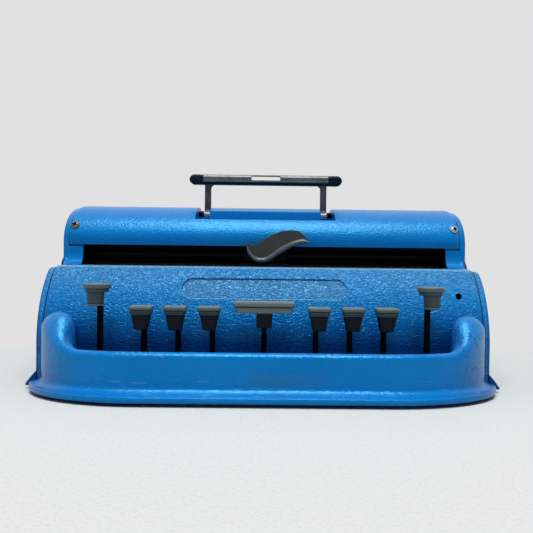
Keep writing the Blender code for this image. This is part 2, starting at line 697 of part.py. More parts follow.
def guard_plan(angle):
    """The cove's foot, the guard's outer and inner faces and its height, at an angle round a corner."""
    turn = math.radians(angle)
    across, along = math.cos(turn), math.sin(turn)
    centre = Vector((FLANGE_STRAIGHT, CORNER_Y))
    edge_radii = (FLANGE_HALF_WIDTH - FLANGE_STRAIGHT, FLANGE_CORNER_DEPTH)
    outer_radii = (GUARD_HALF_WIDTH - FLANGE_STRAIGHT, FLANGE_CORNER_DEPTH - GUARD_SETBACK)
    edge = centre + Vector((edge_radii[0] * across, -edge_radii[1] * along))
    outer = centre + Vector((outer_radii[0] * across, -outer_radii[1] * along))
    normal = Vector((across / outer_radii[0], -along / outer_radii[1])).normalized()
    rise = smooth((HORN_START_ANGLE - angle) / (HORN_START_ANGLE - HORN_FULL_ANGLE))
    inward = (-normal).lerp(Vector((-1, 0)), rise).normalized()
    inner = outer + inward * mix(GUARD_THICKNESS, HORN_WIDTH, rise)
    foot = outer.lerp(edge, COVE_REACH_SHARE)
    foot.y = mix(foot.y, outer.y, rise)
    return foot, outer, inner, mix(GUARD_TOP, HORN_TOP, rise)


def guard_ring(angle, side):
    """The guard's section: a cove up from the flange, an upright face, a round top and an inner face."""
    foot, outer, inner, height = guard_plan(angle)
    section = [(foot, FLOOR_TOP - EMBED)]
    for turn in (0, math.pi / 6, math.pi / 3, math.pi / 2):
        section.append((foot.lerp(outer, math.sin(turn)), FLOOR_TOP + COVE_HEIGHT * (1 - math.cos(turn))))
    radius = (inner - outer).length / 2
    for turn in range(0, 181, 30):
        share = (1 - math.cos(math.radians(turn))) / 2
        section.append((outer.lerp(inner, share), height - radius * (1 - math.sin(math.radians(turn)))))
    section.append((inner, FLOOR_TOP - EMBED))
    return [(side * plan.x, plan.y, z) for plan, z in section]


def make_base():
    base = extrusion("base_casting", [flange_outline()], "Z", FLOOR_UNDER, FLOOR_TOP, "blue_paint")
    guard_depth = FLANGE_CORNER_DEPTH - GUARD_SETBACK
    last_angle = math.degrees(math.asin((CORNER_Y - HOUSING_Y + GAP) / guard_depth))
    angles = [mix(90, last_angle, i / GUARD_STATIONS) for i in range(GUARD_STATIONS + 1)]
    left = [guard_ring(angle, -1) for angle in reversed(angles)]
    right = [guard_ring(angle, 1) for angle in angles]
    join(base, loft("guard_rail_shape", left + right))
    for row, y in (("front", FRONT_Y + FRONT_FOOT_SETBACK), ("rear", REAR_Y - REAR_FOOT_SETBACK)):
        for side, x in (("left", -FOOT_X), ("right", FOOT_X)):
            rod(f"foot_{row}_{side}", "Z", (x, y), FOOT_RADIUS, 0, FOOT_HEIGHT, "rubber")


def make_front_panel():
    sill = SLOT_Y + SILL_DEPTH
    outer = [(HOUSING_Y, PANEL_BOTTOM)] + panel_curve(0, sill)
    inner = panel_curve(SKIN, sill)[::-1] + [(HOUSING_Y + SKIN, PANEL_BOTTOM)]
    reach = CASING_HALF_WIDTH
    panel = extrusion("front_panel", [outer + inner], "X", -reach, reach, "blue_paint")
    layer = panel_curve(-OVERRUN, SLOT_Y) + panel_curve(FIELD_DEPTH, SLOT_Y)[::-1]
    field = extrusion("field_layer", [layer], "X", -FIELD_HALF_LENGTH - OVERRUN, FIELD_HALF_LENGTH + OVERRUN)
    outline = stadium(FIELD_HALF_LENGTH, PANEL_CURVE_START + FIELD_LIFT, FIELD_HEIGHT)
    combine(field, extrusion("field_outline", [outline], "Y", HOUSING_Y - OVERRUN, SLOT_Y), "INTERSECT")
    hole_centre = (PANEL_HOLE_X, PANEL_CURVE_START + PANEL_HOLE_LIFT)
    hole = rod("panel_hole", "Y", hole_centre, PANEL_HOLE_RADIUS, HOUSING_Y - OVERRUN, SLOT_Y)
    cut(panel, field, hole)


def cheek_outline():
    """The block at the slot's end, which also fills the space under the cover's edge to take its screw."""
    front = SLOT_Y + CHEEK_INSET
    inset = SKIN + GAP
    radii = (COVER_CURVE_DEPTH - inset, COVER_CURVE_RISE - inset)
    rear = front + CHEEK_DEPTH
    stop = math.degrees(math.acos((rear - CREST_Y) / radii[0]))
    under_cover = arc((CREST_Y, COVER_CURVE_START), radii, 180, stop, CURVE_STEPS // 2)
    bottom = PANEL_TOP + GAP
    seat = COVER_EDGE - GAP
    fillet = arc((front - CHEEK_FILLET, bottom + CHEEK_FILLET), (CHEEK_FILLET, CHEEK_FILLET), -90, 0, 4)
    return fillet + [(front, seat), (SLOT_Y + inset, seat)] + under_cover + [(rear, bottom)]


def screw_seat(side):
    """The matrix of a cover screw: its origin on the cover's outer face, with Z square to that face."""
    radii = (COVER_CURVE_DEPTH, COVER_CURVE_RISE)
    turn = math.radians(180 - SCREW_DROP_ANGLE)
    y = CREST_Y + radii[0] * math.cos(turn)
    z = COVER_CURVE_START + radii[1] * math.sin(turn)
    normal = Vector((0, math.cos(turn) / radii[0], math.sin(turn) / radii[1])).normalized()
    lift = Matrix.Translation(Vector((side * SCREW_X, y, z)) + normal * GAP)
    return lift @ normal.to_track_quat("Z", "Y").to_matrix().to_4x4()


def screw_bore(name, side):
    radius = SCREW_RADIUS + GAP
    end = -SCREW_LENGTH - 2 * GAP
    return turned(name, ((0, OVERRUN), (radius, OVERRUN), (radius, end), (0, end)), screw_seat(side))


def make_end_panel(name, side):
    sink = END_PANEL_SINK
    outline = [(HOUSING_Y + sink, STANDING_Z)] + panel_curve(sink, SLOT_Y + sink) + cover_curve(sink)
    outline.append((HOUSING_REAR_Y - sink, STANDING_Z))
    feed_hole = circle((FEED_Y, FEED_Z), FEED_SHAFT_RADIUS + RUNNING_GAP)
    release_hole = circle((RELEASE_Y, RELEASE_Z), RELEASE_SHAFT_RADIUS + RUNNING_GAP)
    low, high = sorted((side * HOUSING_INNER_X, side * HOUSING_HALF_WIDTH))
    panel = extrusion(name, [outline, feed_hole, release_hole], "X", low, high, "blue_paint")
    inner = HOUSING_HALF_WIDTH - EMBED
    tip = HOUSING_HALF_WIDTH + SKIRT_FLARE
    clear = FLANGE_HALF_WIDTH + GAP
    low = STANDING_Z - SKIRT_DROP
    skirt = [(inner, STANDING_Z + SKIRT_RISE), (tip, low + SKIRT_EDGE), (tip, low), (clear, low),
             (clear, STANDING_Z), (inner, STANDING_Z)]
    skirt = [(side * x, z) for x, z in skirt]
    skirt_rear = HOUSING_REAR_Y - SKIRT_REAR_SETBACK
    join(panel, extrusion(name + "_skirt", [skirt], "Y", HOUSING_Y + sink, skirt_rear))
    low, high = sorted((side * SLOT_HALF_WIDTH, side * (HOUSING_INNER_X + EMBED)))
    join(panel, extrusion(name + "_cheek", [cheek_outline()], "X", low, high))
    cut(panel, screw_bore(name + "_screw_bore", side))


def recess_boxes(name, grow):
    """Boxes for the recess of the handle: a ledge open to the front, two slots for its legs, and a trough."""
    top = CREST_HEIGHT + OVERRUN + grow
    floor = RECESS_FLOOR - grow
    notch = NOTCH_HALF_WIDTH + grow
    island = ISLAND_HALF_WIDTH - grow
    island_front = ISLAND_FRONT_Y + grow
    trough_front = TROUGH_FRONT_Y - grow
    trough_rear = TROUGH_REAR_Y + grow
    trough = TROUGH_HALF_WIDTH + grow
    slot_front = island_front - EMBED
    slot_rear = trough_front + EMBED
    return [
        box(name + "_ledge", (-notch, SLOT_Y - OVERRUN, floor), (notch, island_front, top)),
        box(name + "_left_slot", (-notch, slot_front, floor), (-island, slot_rear, top)),
        box(name + "_right_slot", (island, slot_front, floor), (notch, slot_rear, top)),
        box(name + "_trough", (-trough, trough_front, TROUGH_FLOOR - grow), (trough, trough_rear, top)),
    ]


def make_cover():
    front = SLOT_Y
    middle = CREST_Y
    rear = HOUSING_REAR_Y
    outer = [(front, COVER_EDGE)] + cover_curve(0)
    outer += [(rear, COVER_REAR_EDGE), (middle, COVER_REAR_EDGE), (middle, COVER_EDGE)]
    cover = extrusion("top_cover", [outer], "X", -CASING_HALF_WIDTH, CASING_HALF_WIDTH, "blue_paint")
    under = COVER_EDGE - OVERRUN
    inner = [(front + SKIN, under)] + cover_curve(SKIN) + [(rear - SKIN, under)]
    reach = CASING_HALF_WIDTH + OVERRUN
    hollow = extrusion("cover_hollow", [inner], "X", -reach, reach)
    cut(hollow, *recess_boxes("recess_walls", SKIN))
    cut(cover, *recess_boxes("recess", 0))
    cut(cover, hollow)
    pivot = (HANDLE_PIVOT_Y, HANDLE_PIVOT_Z)
    for name, side in (("left", -1), ("right", 1)):
        ends = (side * (NOTCH_HALF_WIDTH - SKIN), side * (NOTCH_HALF_WIDTH + OVERRUN))
        cut(cover, rod("handle_pin_bore_" + name, "X", pivot, PIN_RADIUS + GAP, min(ends), max(ends)))
        cut(cover, screw_bore("cover_screw_bore_" + name, side))
        radius = SCREW_HEAD_RADIUS
        shoulder = (radius * math.sin(math.pi / 4), SCREW_HEAD_HEIGHT * SCREW_SHOULDER_SHARE)
        profile = [(0, SCREW_HEAD_HEIGHT), shoulder, (radius, 0), (SCREW_RADIUS, 0)]
        profile += [(SCREW_RADIUS, -SCREW_LENGTH), (0, -SCREW_LENGTH)]
        turned("cover_screw_" + name, profile, screw_seat(side), "bare_steel")


def make_rear_panel():
    rear = HOUSING_REAR_Y
    outline = rectangle(-CASING_HALF_WIDTH, STANDING_Z, CASING_HALF_WIDTH, COVER_REAR_EDGE - GAP)
    slot = stadium(REAR_SLOT_HALF_LENGTH, REAR_SLOT_BOTTOM, REAR_SLOT_HEIGHT)
    extrusion("rear_panel", [outline, slot], "Y", rear - SKIN, rear, "blue_paint")


def make_handle():
    pivot = (HANDLE_PIVOT_Y, HANDLE_PIVOT_Z)
    fillet = STRAP_FILLET
    inside = arc((fillet - LEG_INNER_X, GRIP_BOTTOM - fillet), (fillet, fillet), 180, 90, 4)
    inside += arc((LEG_INNER_X - fillet, GRIP_BOTTOM - fillet), (fillet, fillet), 90, 0, 4)
    outline = [(-LEG_INNER_X, HANDLE_PIVOT_Z)] + inside + [(LEG_INNER_X, HANDLE_PIVOT_Z)]
    outline += [(LEG_OUTER_X, HANDLE_PIVOT_Z), (LEG_OUTER_X, STRAP_TOP)]
    outline += [(-LEG_OUTER_X, STRAP_TOP), (-LEG_OUTER_X, HANDLE_PIVOT_Z)]
    front, rear = HANDLE_PIVOT_Y - LEG_DEPTH / 2, HANDLE_PIVOT_Y + LEG_DEPTH / 2
    frame = extrusion("handle_frame", [outline], "Y", front, rear, "bare_steel")
    for name, side in (("left", -1), ("right", 1)):
        low, high = sorted((side * LEG_INNER_X, side * BOSS_END_X))
        join(frame, rod("handle_boss_" + name, "X", pivot, BOSS_RADIUS, low, high))
        low, high = sorted((side * (LEG_INNER_X - OVERRUN), side * (BOSS_END_X + OVERRUN)))
        cut(frame, rod("handle_bore_" + name, "X", pivot, PIN_RADIUS + GAP, low, high))
        low, high = sorted((side * LEG_INNER_X, side * (NOTCH_HALF_WIDTH + SKIN + PIN_TAIL)))
        pin = rod("handle_pin_" + name, "X", pivot, PIN_RADIUS, low, high, "black_steel")
        low, high = sorted((side * (BOSS_END_X + GAP), side * (NOTCH_HALF_WIDTH - GAP)))
        join(pin, rod("handle_pin_collar_" + name, "X", pivot, PIN_COLLAR_RADIUS, low, high))
    bar = stadium(GRIP_HALF_LENGTH, GRIP_BOTTOM, GRIP_HEIGHT)
    window_top = GRIP_BOTTOM + GRIP_HEIGHT - WINDOW_BRIDGE
    window = rectangle(-WINDOW_HALF_LENGTH, window_top - WINDOW_HEIGHT, WINDOW_HALF_LENGTH, window_top)
    front, rear = HANDLE_PIVOT_Y - GRIP_DEPTH / 2, HANDLE_PIVOT_Y + GRIP_DEPTH / 2
    grip = extrusion("handle_grip", [bar, window], "Y", front, rear, "navy_plastic")
    half_depth = LEG_DEPTH / 2 + GAP
    pocket_low = (-LEG_OUTER_X - GAP, HANDLE_PIVOT_Y - half_depth, GRIP_BOTTOM - OVERRUN)
    pocket_high = (LEG_OUTER_X + GAP, HANDLE_PIVOT_Y + half_depth, STRAP_TOP + GAP)
    cut(grip, box("grip_pocket", pocket_low, pocket_high))
    joint_axis("handle_fold_axis", (0, HANDLE_PIVOT_Y, HANDLE_PIVOT_Z), frame, grip)


def make_frame_plates():
    outline = [
        (PLATE_FRONT_Y, STANDING_Z),
        (PLATE_FRONT_Y, PANEL_TOP - PLATE_FRONT_DROP),
        (PLATE_SHOULDER_Y, PANEL_TOP - PLATE_SHOULDER_DROP),
        (PLATE_SHOULDER_Y, CREST_HEIGHT - PLATE_TOP_DROP),
        (PLATE_REAR_Y, CREST_HEIGHT - PLATE_TOP_DROP),
        (PLATE_REAR_Y, STANDING_Z),
    ]
    holes = [
        circle((KEY_PIVOT_Y, KEY_PIVOT_Z), KEY_SHAFT_RADIUS + GAP),
        circle((LOWER_RAIL_Y, LOWER_RAIL_Z), LOWER_RAIL_RADIUS + GAP),
        circle((UPPER_RAIL_Y, UPPER_RAIL_Z), UPPER_RAIL_RADIUS + GAP),
        circle((FEED_Y, FEED_Z), FEED_SHAFT_RADIUS + RUNNING_GAP),
        circle((RELEASE_Y, RELEASE_Z), RELEASE_SHAFT_RADIUS + RUNNING_GAP),
    ]
    for name, side in (("left", -1), ("right", 1)):
        low, high = sorted((side * PLATE_X, side * PLATE_OUTER_X))
        extrusion(f"{name}_frame_plate", [outline] + holes, "X", low, high, "cast_metal")
    rods = (
        ("lower_carriage_rail", (LOWER_RAIL_Y, LOWER_RAIL_Z), LOWER_RAIL_RADIUS),
        ("upper_carriage_rail", (UPPER_RAIL_Y, UPPER_RAIL_Z), UPPER_RAIL_RADIUS),
        ("key_pivot_shaft", (KEY_PIVOT_Y, KEY_PIVOT_Z), KEY_SHAFT_RADIUS),
    )
    for name, centre, radius in rods:
        rod(name, "X", centre, radius, -PLATE_OUTER_X, PLATE_OUTER_X, "bare_steel")


def make_racks():
    """The spacing rack has a notch for each cell, counted both ways from the one that the pawl is at."""
    half_notch = CELL_PITCH * NOTCH_WIDTH_SHARE / 2
    front, rear = RACK_FRONT_Y, RACK_FRONT_Y + RACK_DEPTH
    pawl_notch = PAWL_X + PAWL_THICKNESS / 2
    left_cells = int((SPAN_X - RACK_LEFT_END + pawl_notch) / CELL_PITCH)
    right_cells = int((SPAN_X - RACK_RIGHT_END - pawl_notch) / CELL_PITCH)
    outline = [(-SPAN_X, front)]
    for cell in range(-left_cells, right_cells + 1):
        x = pawl_notch + cell * CELL_PITCH
        outline += [(x - half_notch, front), (x - half_notch, front + NOTCH_DEPTH)]
        outline += [(x + half_notch, front + NOTCH_DEPTH), (x + half_notch, front)]
    outline += [(SPAN_X, front), (SPAN_X, rear), (-SPAN_X, rear)]
    extrusion("spacing_rack", [outline], "Z", RACK_TOP - RACK_HEIGHT, RACK_TOP, "brass")
    low = (-SPAN_X, MARGIN_RACK_FRONT_Y, MARGIN_RACK_BOTTOM)
    high = (SPAN_X, MARGIN_RACK_FRONT_Y + MARGIN_RACK_DEPTH, MARGIN_RACK_BOTTOM + MARGIN_RACK_HEIGHT)
    box("margin_rack", low, high, "bare_steel")


def make_comb():
    half = KEY_BLADE / 2 + COMB_CLEARANCE
    end, top = COMB_HALF_LENGTH, KEY_LEVER_TOP + COMB_RISE
    slot_bottom = FLOOR_TOP + COMB_FLOOR
    outline = [(-end, STANDING_Z), (end, STANDING_Z), (end, top)]
    for _, x, _ in reversed(KEYS):
        outline += [(x + half, top), (x + half, slot_bottom), (x - half, slot_bottom), (x - half, top)]
    outline.append((-end, top))
    extrusion("key_guide_comb", [outline], "Y", COMB_FRONT_Y, COMB_FRONT_Y + COMB_DEPTH, "cast_metal")


def rounded_ring(x, y, z, width, depth):
    """A level ring with rounded corners."""
    corner = CAP_CORNER_SHARE * DOT_CAP_DEPTH
    points = []
    for i, (across, along) in enumerate(((1, 1), (-1, 1), (-1, -1), (1, -1))):
        centre = (x + across * (width / 2 - corner), y + along * (depth / 2 - corner))
        points += arc(centre, (corner, corner), 90 * i, 90 * i + 90, 2)
    return [(u, v, z) for u, v in points]


def make_cap(name, x, kind):
    """A cap over its stem, set a little outwards from it, and how high the stem reaches."""
    x += CAP_OUTSET * (x > 0) - CAP_OUTSET * (x < 0)
    if kind == "end":
        bottom = KEY_LEVER_TOP + END_CAP_LIFT
        profile = [(radius * END_CAP_RADIUS, height * END_CAP_HEIGHT) for radius, height in END_CAP_SHARES]
        return turned(name, profile, Matrix.Translation((x, KEY_Y, bottom)), "key_plastic"), bottom
    sizes = {
        "dot": (DOT_CAP_SHARES, DOT_CAP_WIDTH, DOT_CAP_DEPTH, DOT_CAP_LIFT, DOT_CAP_HEIGHT),
        "space": (SPACE_CAP_SHARES, SPACE_CAP_WIDTH, SPACE_CAP_DEPTH, SPACE_CAP_LIFT, SPACE_CAP_HEIGHT),
    }
    shares, width, depth, lift, height = sizes[kind]
    bottom = KEY_LEVER_TOP + lift
    rings = []
    for width_share, height_share, depth_share in shares:
        z = bottom + height_share * height
        rings.append(rounded_ring(x, KEY_Y, z, width_share * width, depth_share * depth))
    return loft(name, rings, "key_plastic"), bottom


def make_keys():
    """Each key is a flat lever: a stem up to the cap, an arm under the front panel, an eye on the shaft."""
    low, high = KEY_LEVER_TOP - KEY_LEVER_HEIGHT, KEY_LEVER_TOP
    front, back = KEY_Y - STEM_DEPTH / 2, KEY_Y + STEM_DEPTH / 2
    pivot = (KEY_PIVOT_Y, KEY_PIVOT_Z)
    eye = arc(pivot, (KEY_LEVER_HEIGHT / 2, KEY_LEVER_HEIGHT / 2), 90, -90, 6)
    hole = circle(pivot, KEY_SHAFT_RADIUS + GAP, 12)
    for key, x, kind in KEYS:
        cap, cap_bottom = make_cap("key_cap_" + key, x, kind)
        top = cap_bottom - GAP
        outline = [(front, low), (front, top), (back, top), (back, high)] + eye
        sides = (x - KEY_BLADE / 2, x + KEY_BLADE / 2)
        lever = extrusion("key_lever_" + key, [outline, hole], "X", *sides, "black_steel")
        joint_axis("key_axis_" + key, (x, *pivot), lever, cap)


def make_carriage():
    """The embossing head under the paper and the die head over it, which slide together."""
    half = HEAD_HALF_WIDTH
    head_low = (-half, HEAD_FRONT_Y, HEAD_BOTTOM)
    head_high = (half, HEAD_FRONT_Y + HEAD_DEPTH, HEAD_TOP)
    head = box("embossing_head", head_low, head_high, "cast_metal")
    reach = half + OVERRUN
    lower_rail = (LOWER_RAIL_Y, LOWER_RAIL_Z)
    cut(head, rod("lower_rail_bore", "X", lower_rail, LOWER_RAIL_RADIUS + GAP, -reach, reach))
    half = DIE_HALF_WIDTH
    die_high = (half, DIE_FRONT_Y + DIE_DEPTH, DIE_TOP)
    die = box("die_head", (-half, DIE_FRONT_Y, DIE_BOTTOM), die_high, "cast_metal")
    for name, side in (("left", -1), ("right", 1)):
        inner, outer = ARM_HALF_WIDTH + RUNNING_GAP, ARM_HALF_WIDTH + RUNNING_GAP + EAR_WIDTH
        low, high = sorted((side * inner, side * outer))
        ear_low = (low, EAR_FRONT_Y, DIE_BOTTOM)
        join(die, box("lever_ear_" + name, ear_low, (high, DIE_FRONT_Y + EMBED, DIE_BOTTOM + EAR_HEIGHT)))
    pin_line = (LEVER_PIVOT_Y, LEVER_PIVOT_Z)
    upper_rail = (UPPER_RAIL_Y, UPPER_RAIL_Z)
    cut(die, rod("upper_rail_bore", "X", upper_rail, UPPER_RAIL_RADIUS + GAP, -reach, reach))
    cut(die, rod("ear_bore", "X", pin_line, LEVER_PIN_RADIUS + GAP, -reach, reach, steps=12))
    pin_end = ARM_HALF_WIDTH + RUNNING_GAP + EAR_WIDTH
    pin = rod("hand_lever_pin", "X", pin_line, LEVER_PIN_RADIUS, -pin_end, pin_end, "bare_steel", steps=12)
    return joint_axis("carriage_slide_axis", (0, LOWER_RAIL_Y, LOWER_RAIL_Z), head, die, pin)


def hand_lever_points(shares):
    left, bottom = -HAND_LEVER_LEFT, HAND_LEVER_BOTTOM
    return [(left + u * HAND_LEVER_LENGTH, bottom + v * HAND_LEVER_HEIGHT) for u, v in shares]


def make_hand_lever(carriage):
    """The S-shaped finger lever before the slot, with a lip along its lower edge and an arm to its pin."""
    rear = HAND_LEVER_REAR_Y
    plate_front = rear - HAND_LEVER_PLATE
    upper = hand_lever_points(HAND_LEVER_UPPER_SHARES)
    lower = hand_lever_points(HAND_LEVER_LOWER_SHARES)
    plate = extrusion("hand_lever", [upper + lower], "Y", plate_front, rear, "grey_plastic")
    lip = [upper[0]] + hand_lever_points(HAND_LEVER_RIM_SHARES) + [upper[-1]] + lower
    lip_rear = plate_front + EMBED
    join(plate, extrusion("hand_lever_lip", [lip], "Y", plate_front - HAND_LEVER_RIM, lip_rear))
    half_arm = ARM_HEIGHT / 2
    arm_low = (-ARM_HALF_WIDTH, rear - EMBED, LEVER_PIVOT_Z - half_arm)
    arm_high = (ARM_HALF_WIDTH, LEVER_PIVOT_Y + half_arm, LEVER_PIVOT_Z + half_arm)
    join(plate, box("hand_lever_arm", arm_low, arm_high))
    pin_line = (LEVER_PIVOT_Y, LEVER_PIVOT_Z)
    reach = ARM_HALF_WIDTH + OVERRUN
    cut(plate, rod("arm_bore", "X", pin_line, LEVER_PIN_RADIUS + GAP, -reach, reach, steps=12))
    joint_axis("hand_lever_axis", (0, *pin_line), plate, parent=carriage)


def make_pawl(carriage):
    """A hooked arm beside the embossing head, whose nose stands in front of the rack."""
    top = PAWL_PIVOT_Z + PAWL_ARM_HEIGHT / 4
    bottom = top - PAWL_ARM_HEIGHT
    nose_rear = RACK_FRONT_Y - RUNNING_GAP
    nose_front = nose_rear - PAWL_NOSE_DEPTH
    tail = PAWL_PIVOT_Y + PAWL_TAIL
    outline = [(tail, bottom), (tail, top), (nose_rear, top), (nose_rear, top + PAWL_NOSE_RISE)]
    outline += [(nose_front, top + PAWL_NOSE_RISE), (nose_front, bottom)]
    pawl = extrusion("pawl", [outline], "X", PAWL_X, PAWL_X + PAWL_THICKNESS, "bare_steel")
    joint_axis("pawl_axis", (PAWL_X, PAWL_PIVOT_Y, PAWL_PIVOT_Z), pawl, parent=carriage)


def ratchet_outline(centre):
    points = []
    for i in range(RATCHET_TEETH * 2):
        angle = 2 * math.pi * i / (RATCHET_TEETH * 2)
        radius = RATCHET_RADIUS * (1 - RATCHET_TOOTH_SHARE * (i % 2))
        points.append((centre[0] + radius * math.cos(angle), centre[1] + radius * math.sin(angle)))
    return points


def make_knob(name, side):
    """A finger knob with shallow scallops round its edge, on the end of the feed shaft."""
    steps = KNOB_LOBES * 3
    rings = []
    for along_share, radius_share in KNOB_RING_SHARES:
        x = side * (KNOB_X + along_share * KNOB_WIDTH)
        ring = []
        for i in range(steps):
            angle = -side * 2 * math.pi * i / steps
            scallop = 1 - KNOB_SCALLOP_SHARE * (i % 3 == 0)
            radius = KNOB_RADIUS * radius_share * scallop
            ring.append((x, FEED_Y + radius * math.cos(angle), FEED_Z + radius * math.sin(angle)))
        rings.append(ring)
    knob = loft(name, rings, "key_plastic")
    low, high = sorted((side * (KNOB_X - OVERRUN), side * (KNOB_X + KNOB_BORE_DEPTH)))
    cut(knob, rod(name + "_bore", "X", (FEED_Y, FEED_Z), FEED_SHAFT_RADIUS + GAP, low, high))
    return knob


def make_feed():
    centre = (FEED_Y, FEED_Z)
    reach = KNOB_X + KNOB_BORE_DEPTH - GAP
    half = ROLLER_HALF_LENGTH
    bore = circle(centre, FEED_SHAFT_RADIUS + GAP)
    shaft = rod("feed_shaft", "X", centre, FEED_SHAFT_RADIUS, -reach, reach, "bare_steel")
    surface = circle(centre, FEED_ROLLER_RADIUS, FINE_STEPS)
    roller = extrusion("feed_roller", [surface, bore], "X", -half, half, "rubber")
    wheel_x = -PLATE_OUTER_X - RATCHET_OFFSET
    wheel_sides = (wheel_x - RATCHET_THICKNESS, wheel_x)
    wheel = extrusion("line_ratchet", [ratchet_outline(centre), bore], "X", *wheel_sides, "brass")
    knobs = [make_knob("feed_knob_left", -1), make_knob("feed_knob_right", 1)]
    joint_axis("paper_feed_axis", (0, *centre), shaft, roller, wheel, *knobs)


def make_release():
    """A shaft with two arms that hold the pressure roller to the feed roller, and a lever at each end."""
    centre = (RELEASE_Y, RELEASE_Z)
    lever_x = KNOB_X
    reach = lever_x + RELEASE_LEVER_THICKNESS
    shaft = rod("release_shaft", "X", centre, RELEASE_SHAFT_RADIUS, -reach, reach, "bare_steel")
    arm = capsule(centre, RELEASE_ARM_HUB, PRESSURE_CENTRE, RELEASE_ARM_EYE)
    eye = circle(PRESSURE_CENTRE, PRESSURE_SPINDLE_RADIUS + GAP, 12)
    tip = (RELEASE_Y + RELEASE_LEVER_LEAN, RELEASE_Z + RELEASE_LEVER_REACH)
    outline = capsule(centre, RELEASE_LEVER_HUB, tip, RELEASE_LEVER_TIP)
    bore = circle(centre, RELEASE_SHAFT_RADIUS + GAP)
    arm_x = ROLLER_HALF_LENGTH + RELEASE_ARM_OFFSET
    levers = []
    for name, side in (("left", -1), ("right", 1)):
        low, high = sorted((side * arm_x, side * (arm_x + RELEASE_ARM_THICKNESS)))
        join(shaft, extrusion("release_arm_" + name, [arm, eye], "X", low, high))
        low, high = sorted((side * lever_x, side * reach))
        levers.append(extrusion("release_lever_" + name, [outline, bore], "X", low, high, "key_plastic"))
    release = joint_axis("paper_release_axis", (0, *centre), shaft, *levers)
    half = ROLLER_HALF_LENGTH
    spindle = arm_x + RELEASE_ARM_THICKNESS
    thin = PRESSURE_SPINDLE_RADIUS
    roller = rod("pressure_roller", "X", PRESSURE_CENTRE, PRESSURE_RADIUS, -half, half, "rubber")
    join(roller, rod("pressure_spindle", "X", PRESSURE_CENTRE, thin, -spindle, spindle, steps=12))
    joint_axis("pressure_roller_axis", (0, *PRESSURE_CENTRE), roller, parent=release)


def make_margin_stops():
    rack_rear = MARGIN_RACK_FRONT_Y + MARGIN_RACK_DEPTH
    rack_top = MARGIN_RACK_BOTTOM + MARGIN_RACK_HEIGHT
    wall = MARGIN_STOP_WALL
    for name, x in (("left", -MARGIN_STOP_X), ("right", MARGIN_STOP_X)):
        half = MARGIN_STOP_WIDTH / 2
        low = (x - half, MARGIN_RACK_FRONT_Y - wall, MARGIN_RACK_BOTTOM - wall)
        high = (x + half, rack_rear + wall, rack_top + wall)
        stop = box("margin_stop_" + name, low, high, "bare_steel")
        tab = MARGIN_TAB_WIDTH / 2
        tab_top = REAR_SLOT_BOTTOM + (REAR_SLOT_HEIGHT + MARGIN_TAB_HEIGHT) / 2
        tab_low = (x - tab, rack_rear + wall - EMBED, tab_top - MARGIN_TAB_HEIGHT)
        tab_high = (x + tab, rack_rear + wall + MARGIN_TAB_REACH, tab_top)
        join(stop, box("margin_tab_" + name, tab_low, tab_high))
        low = (x - half - OVERRUN, MARGIN_RACK_FRONT_Y - GAP, MARGIN_RACK_BOTTOM - GAP)
        high = (x + half + OVERRUN, rack_rear + GAP, rack_top + GAP)
        cut(stop, box("margin_channel_" + name, low, high))
        joint_axis("margin_axis_" + name, (x, rack_rear, MARGIN_RACK_BOTTOM), stop)


def make_bell():
    """A dome on a post from the left frame plate, open towards the plate, and the hammer beside its lip."""
    dome = BELL_DEPTH - BELL_LIP
    outer = [(BELL_RADIUS * math.sin(a), BELL_LIP + dome * math.cos(a)) for a in quarter_turns()]
    radius, height = BELL_RADIUS - BELL_WALL, dome - BELL_WALL
    post = math.asin(BELL_POST_RADIUS / radius)
    inner = [(radius * math.sin(a), BELL_LIP + height * math.cos(a)) for a in quarter_turns(post)][::-1]
    profile = outer + inner + [(BELL_POST_RADIUS, 0), (0, 0)]
    turned("bell", profile, Matrix.Translation((-SPAN_X, BELL_Y, BELL_Z)) @ AXES["X"], "brass")
    ball_x = BELL_LIP + 2 * BELL_WALL - SPAN_X
    ball_y = BELL_Y + BELL_RADIUS + CLAPPER_REST_GAP + CLAPPER_BALL_RADIUS
    pivot = (CLAPPER_PIVOT_Y, BELL_Z)
    boss_end = ball_x + CLAPPER_ARM_RADIUS
    clapper = rod("bell_clapper", "X", pivot, CLAPPER_BOSS_RADIUS, -SPAN_X, boss_end, "bare_steel", steps=12)
    thin = CLAPPER_ARM_RADIUS
    join(clapper, rod("clapper_arm", "Y", (ball_x, BELL_Z), thin, ball_y, CLAPPER_PIVOT_Y, steps=8))
    shape = bmesh.new()
    place_ball = Matrix.Translation((ball_x, ball_y, BELL_Z))
    radius = CLAPPER_BALL_RADIUS
    bmesh.ops.create_uvsphere(shape, u_segments=10, v_segments=6, radius=radius, matrix=place_ball)
    join(clapper, add_shape("clapper_ball", shape))
    joint_axis("clapper_axis", (-SPAN_X, *pivot), clapper)


def quarter_turns(start=0.0, steps=4):
    return [mix(start, math.pi / 2, i / steps) for i in range(steps + 1)]


def main():
    clear_scene()
    make_materials()
    make_base()
    make_front_panel()
    make_end_panel("left_end_panel", -1)
    make_end_panel("right_end_panel", 1)
    make_cover()
    make_rear_panel()
    make_handle()
    make_frame_plates()
    make_racks()
    make_comb()
    make_keys()
    carriage = make_carriage()
    make_hand_lever(carriage)
    make_pawl(carriage)
    make_feed()
    make_release()
    make_margin_stops()
    make_bell()
    print("parts:", len([thing for thing in bpy.data.collections[PARTS].objects if thing.type == "MESH"]))


main()
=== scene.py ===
# %% [markdown]
# # A braille typewriter
# A six-key machine that presses raised dots into paper. Painted casings cover the works, a thick guard rail runs
# round the keys, and a carrying handle stands in a recess of the cover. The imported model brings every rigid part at
# its right place and says how each one moves. This lesson builds finer shapes over those parts and paints them.

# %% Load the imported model
import math

import bmesh
import bpy
from mathutils import Matrix, Vector


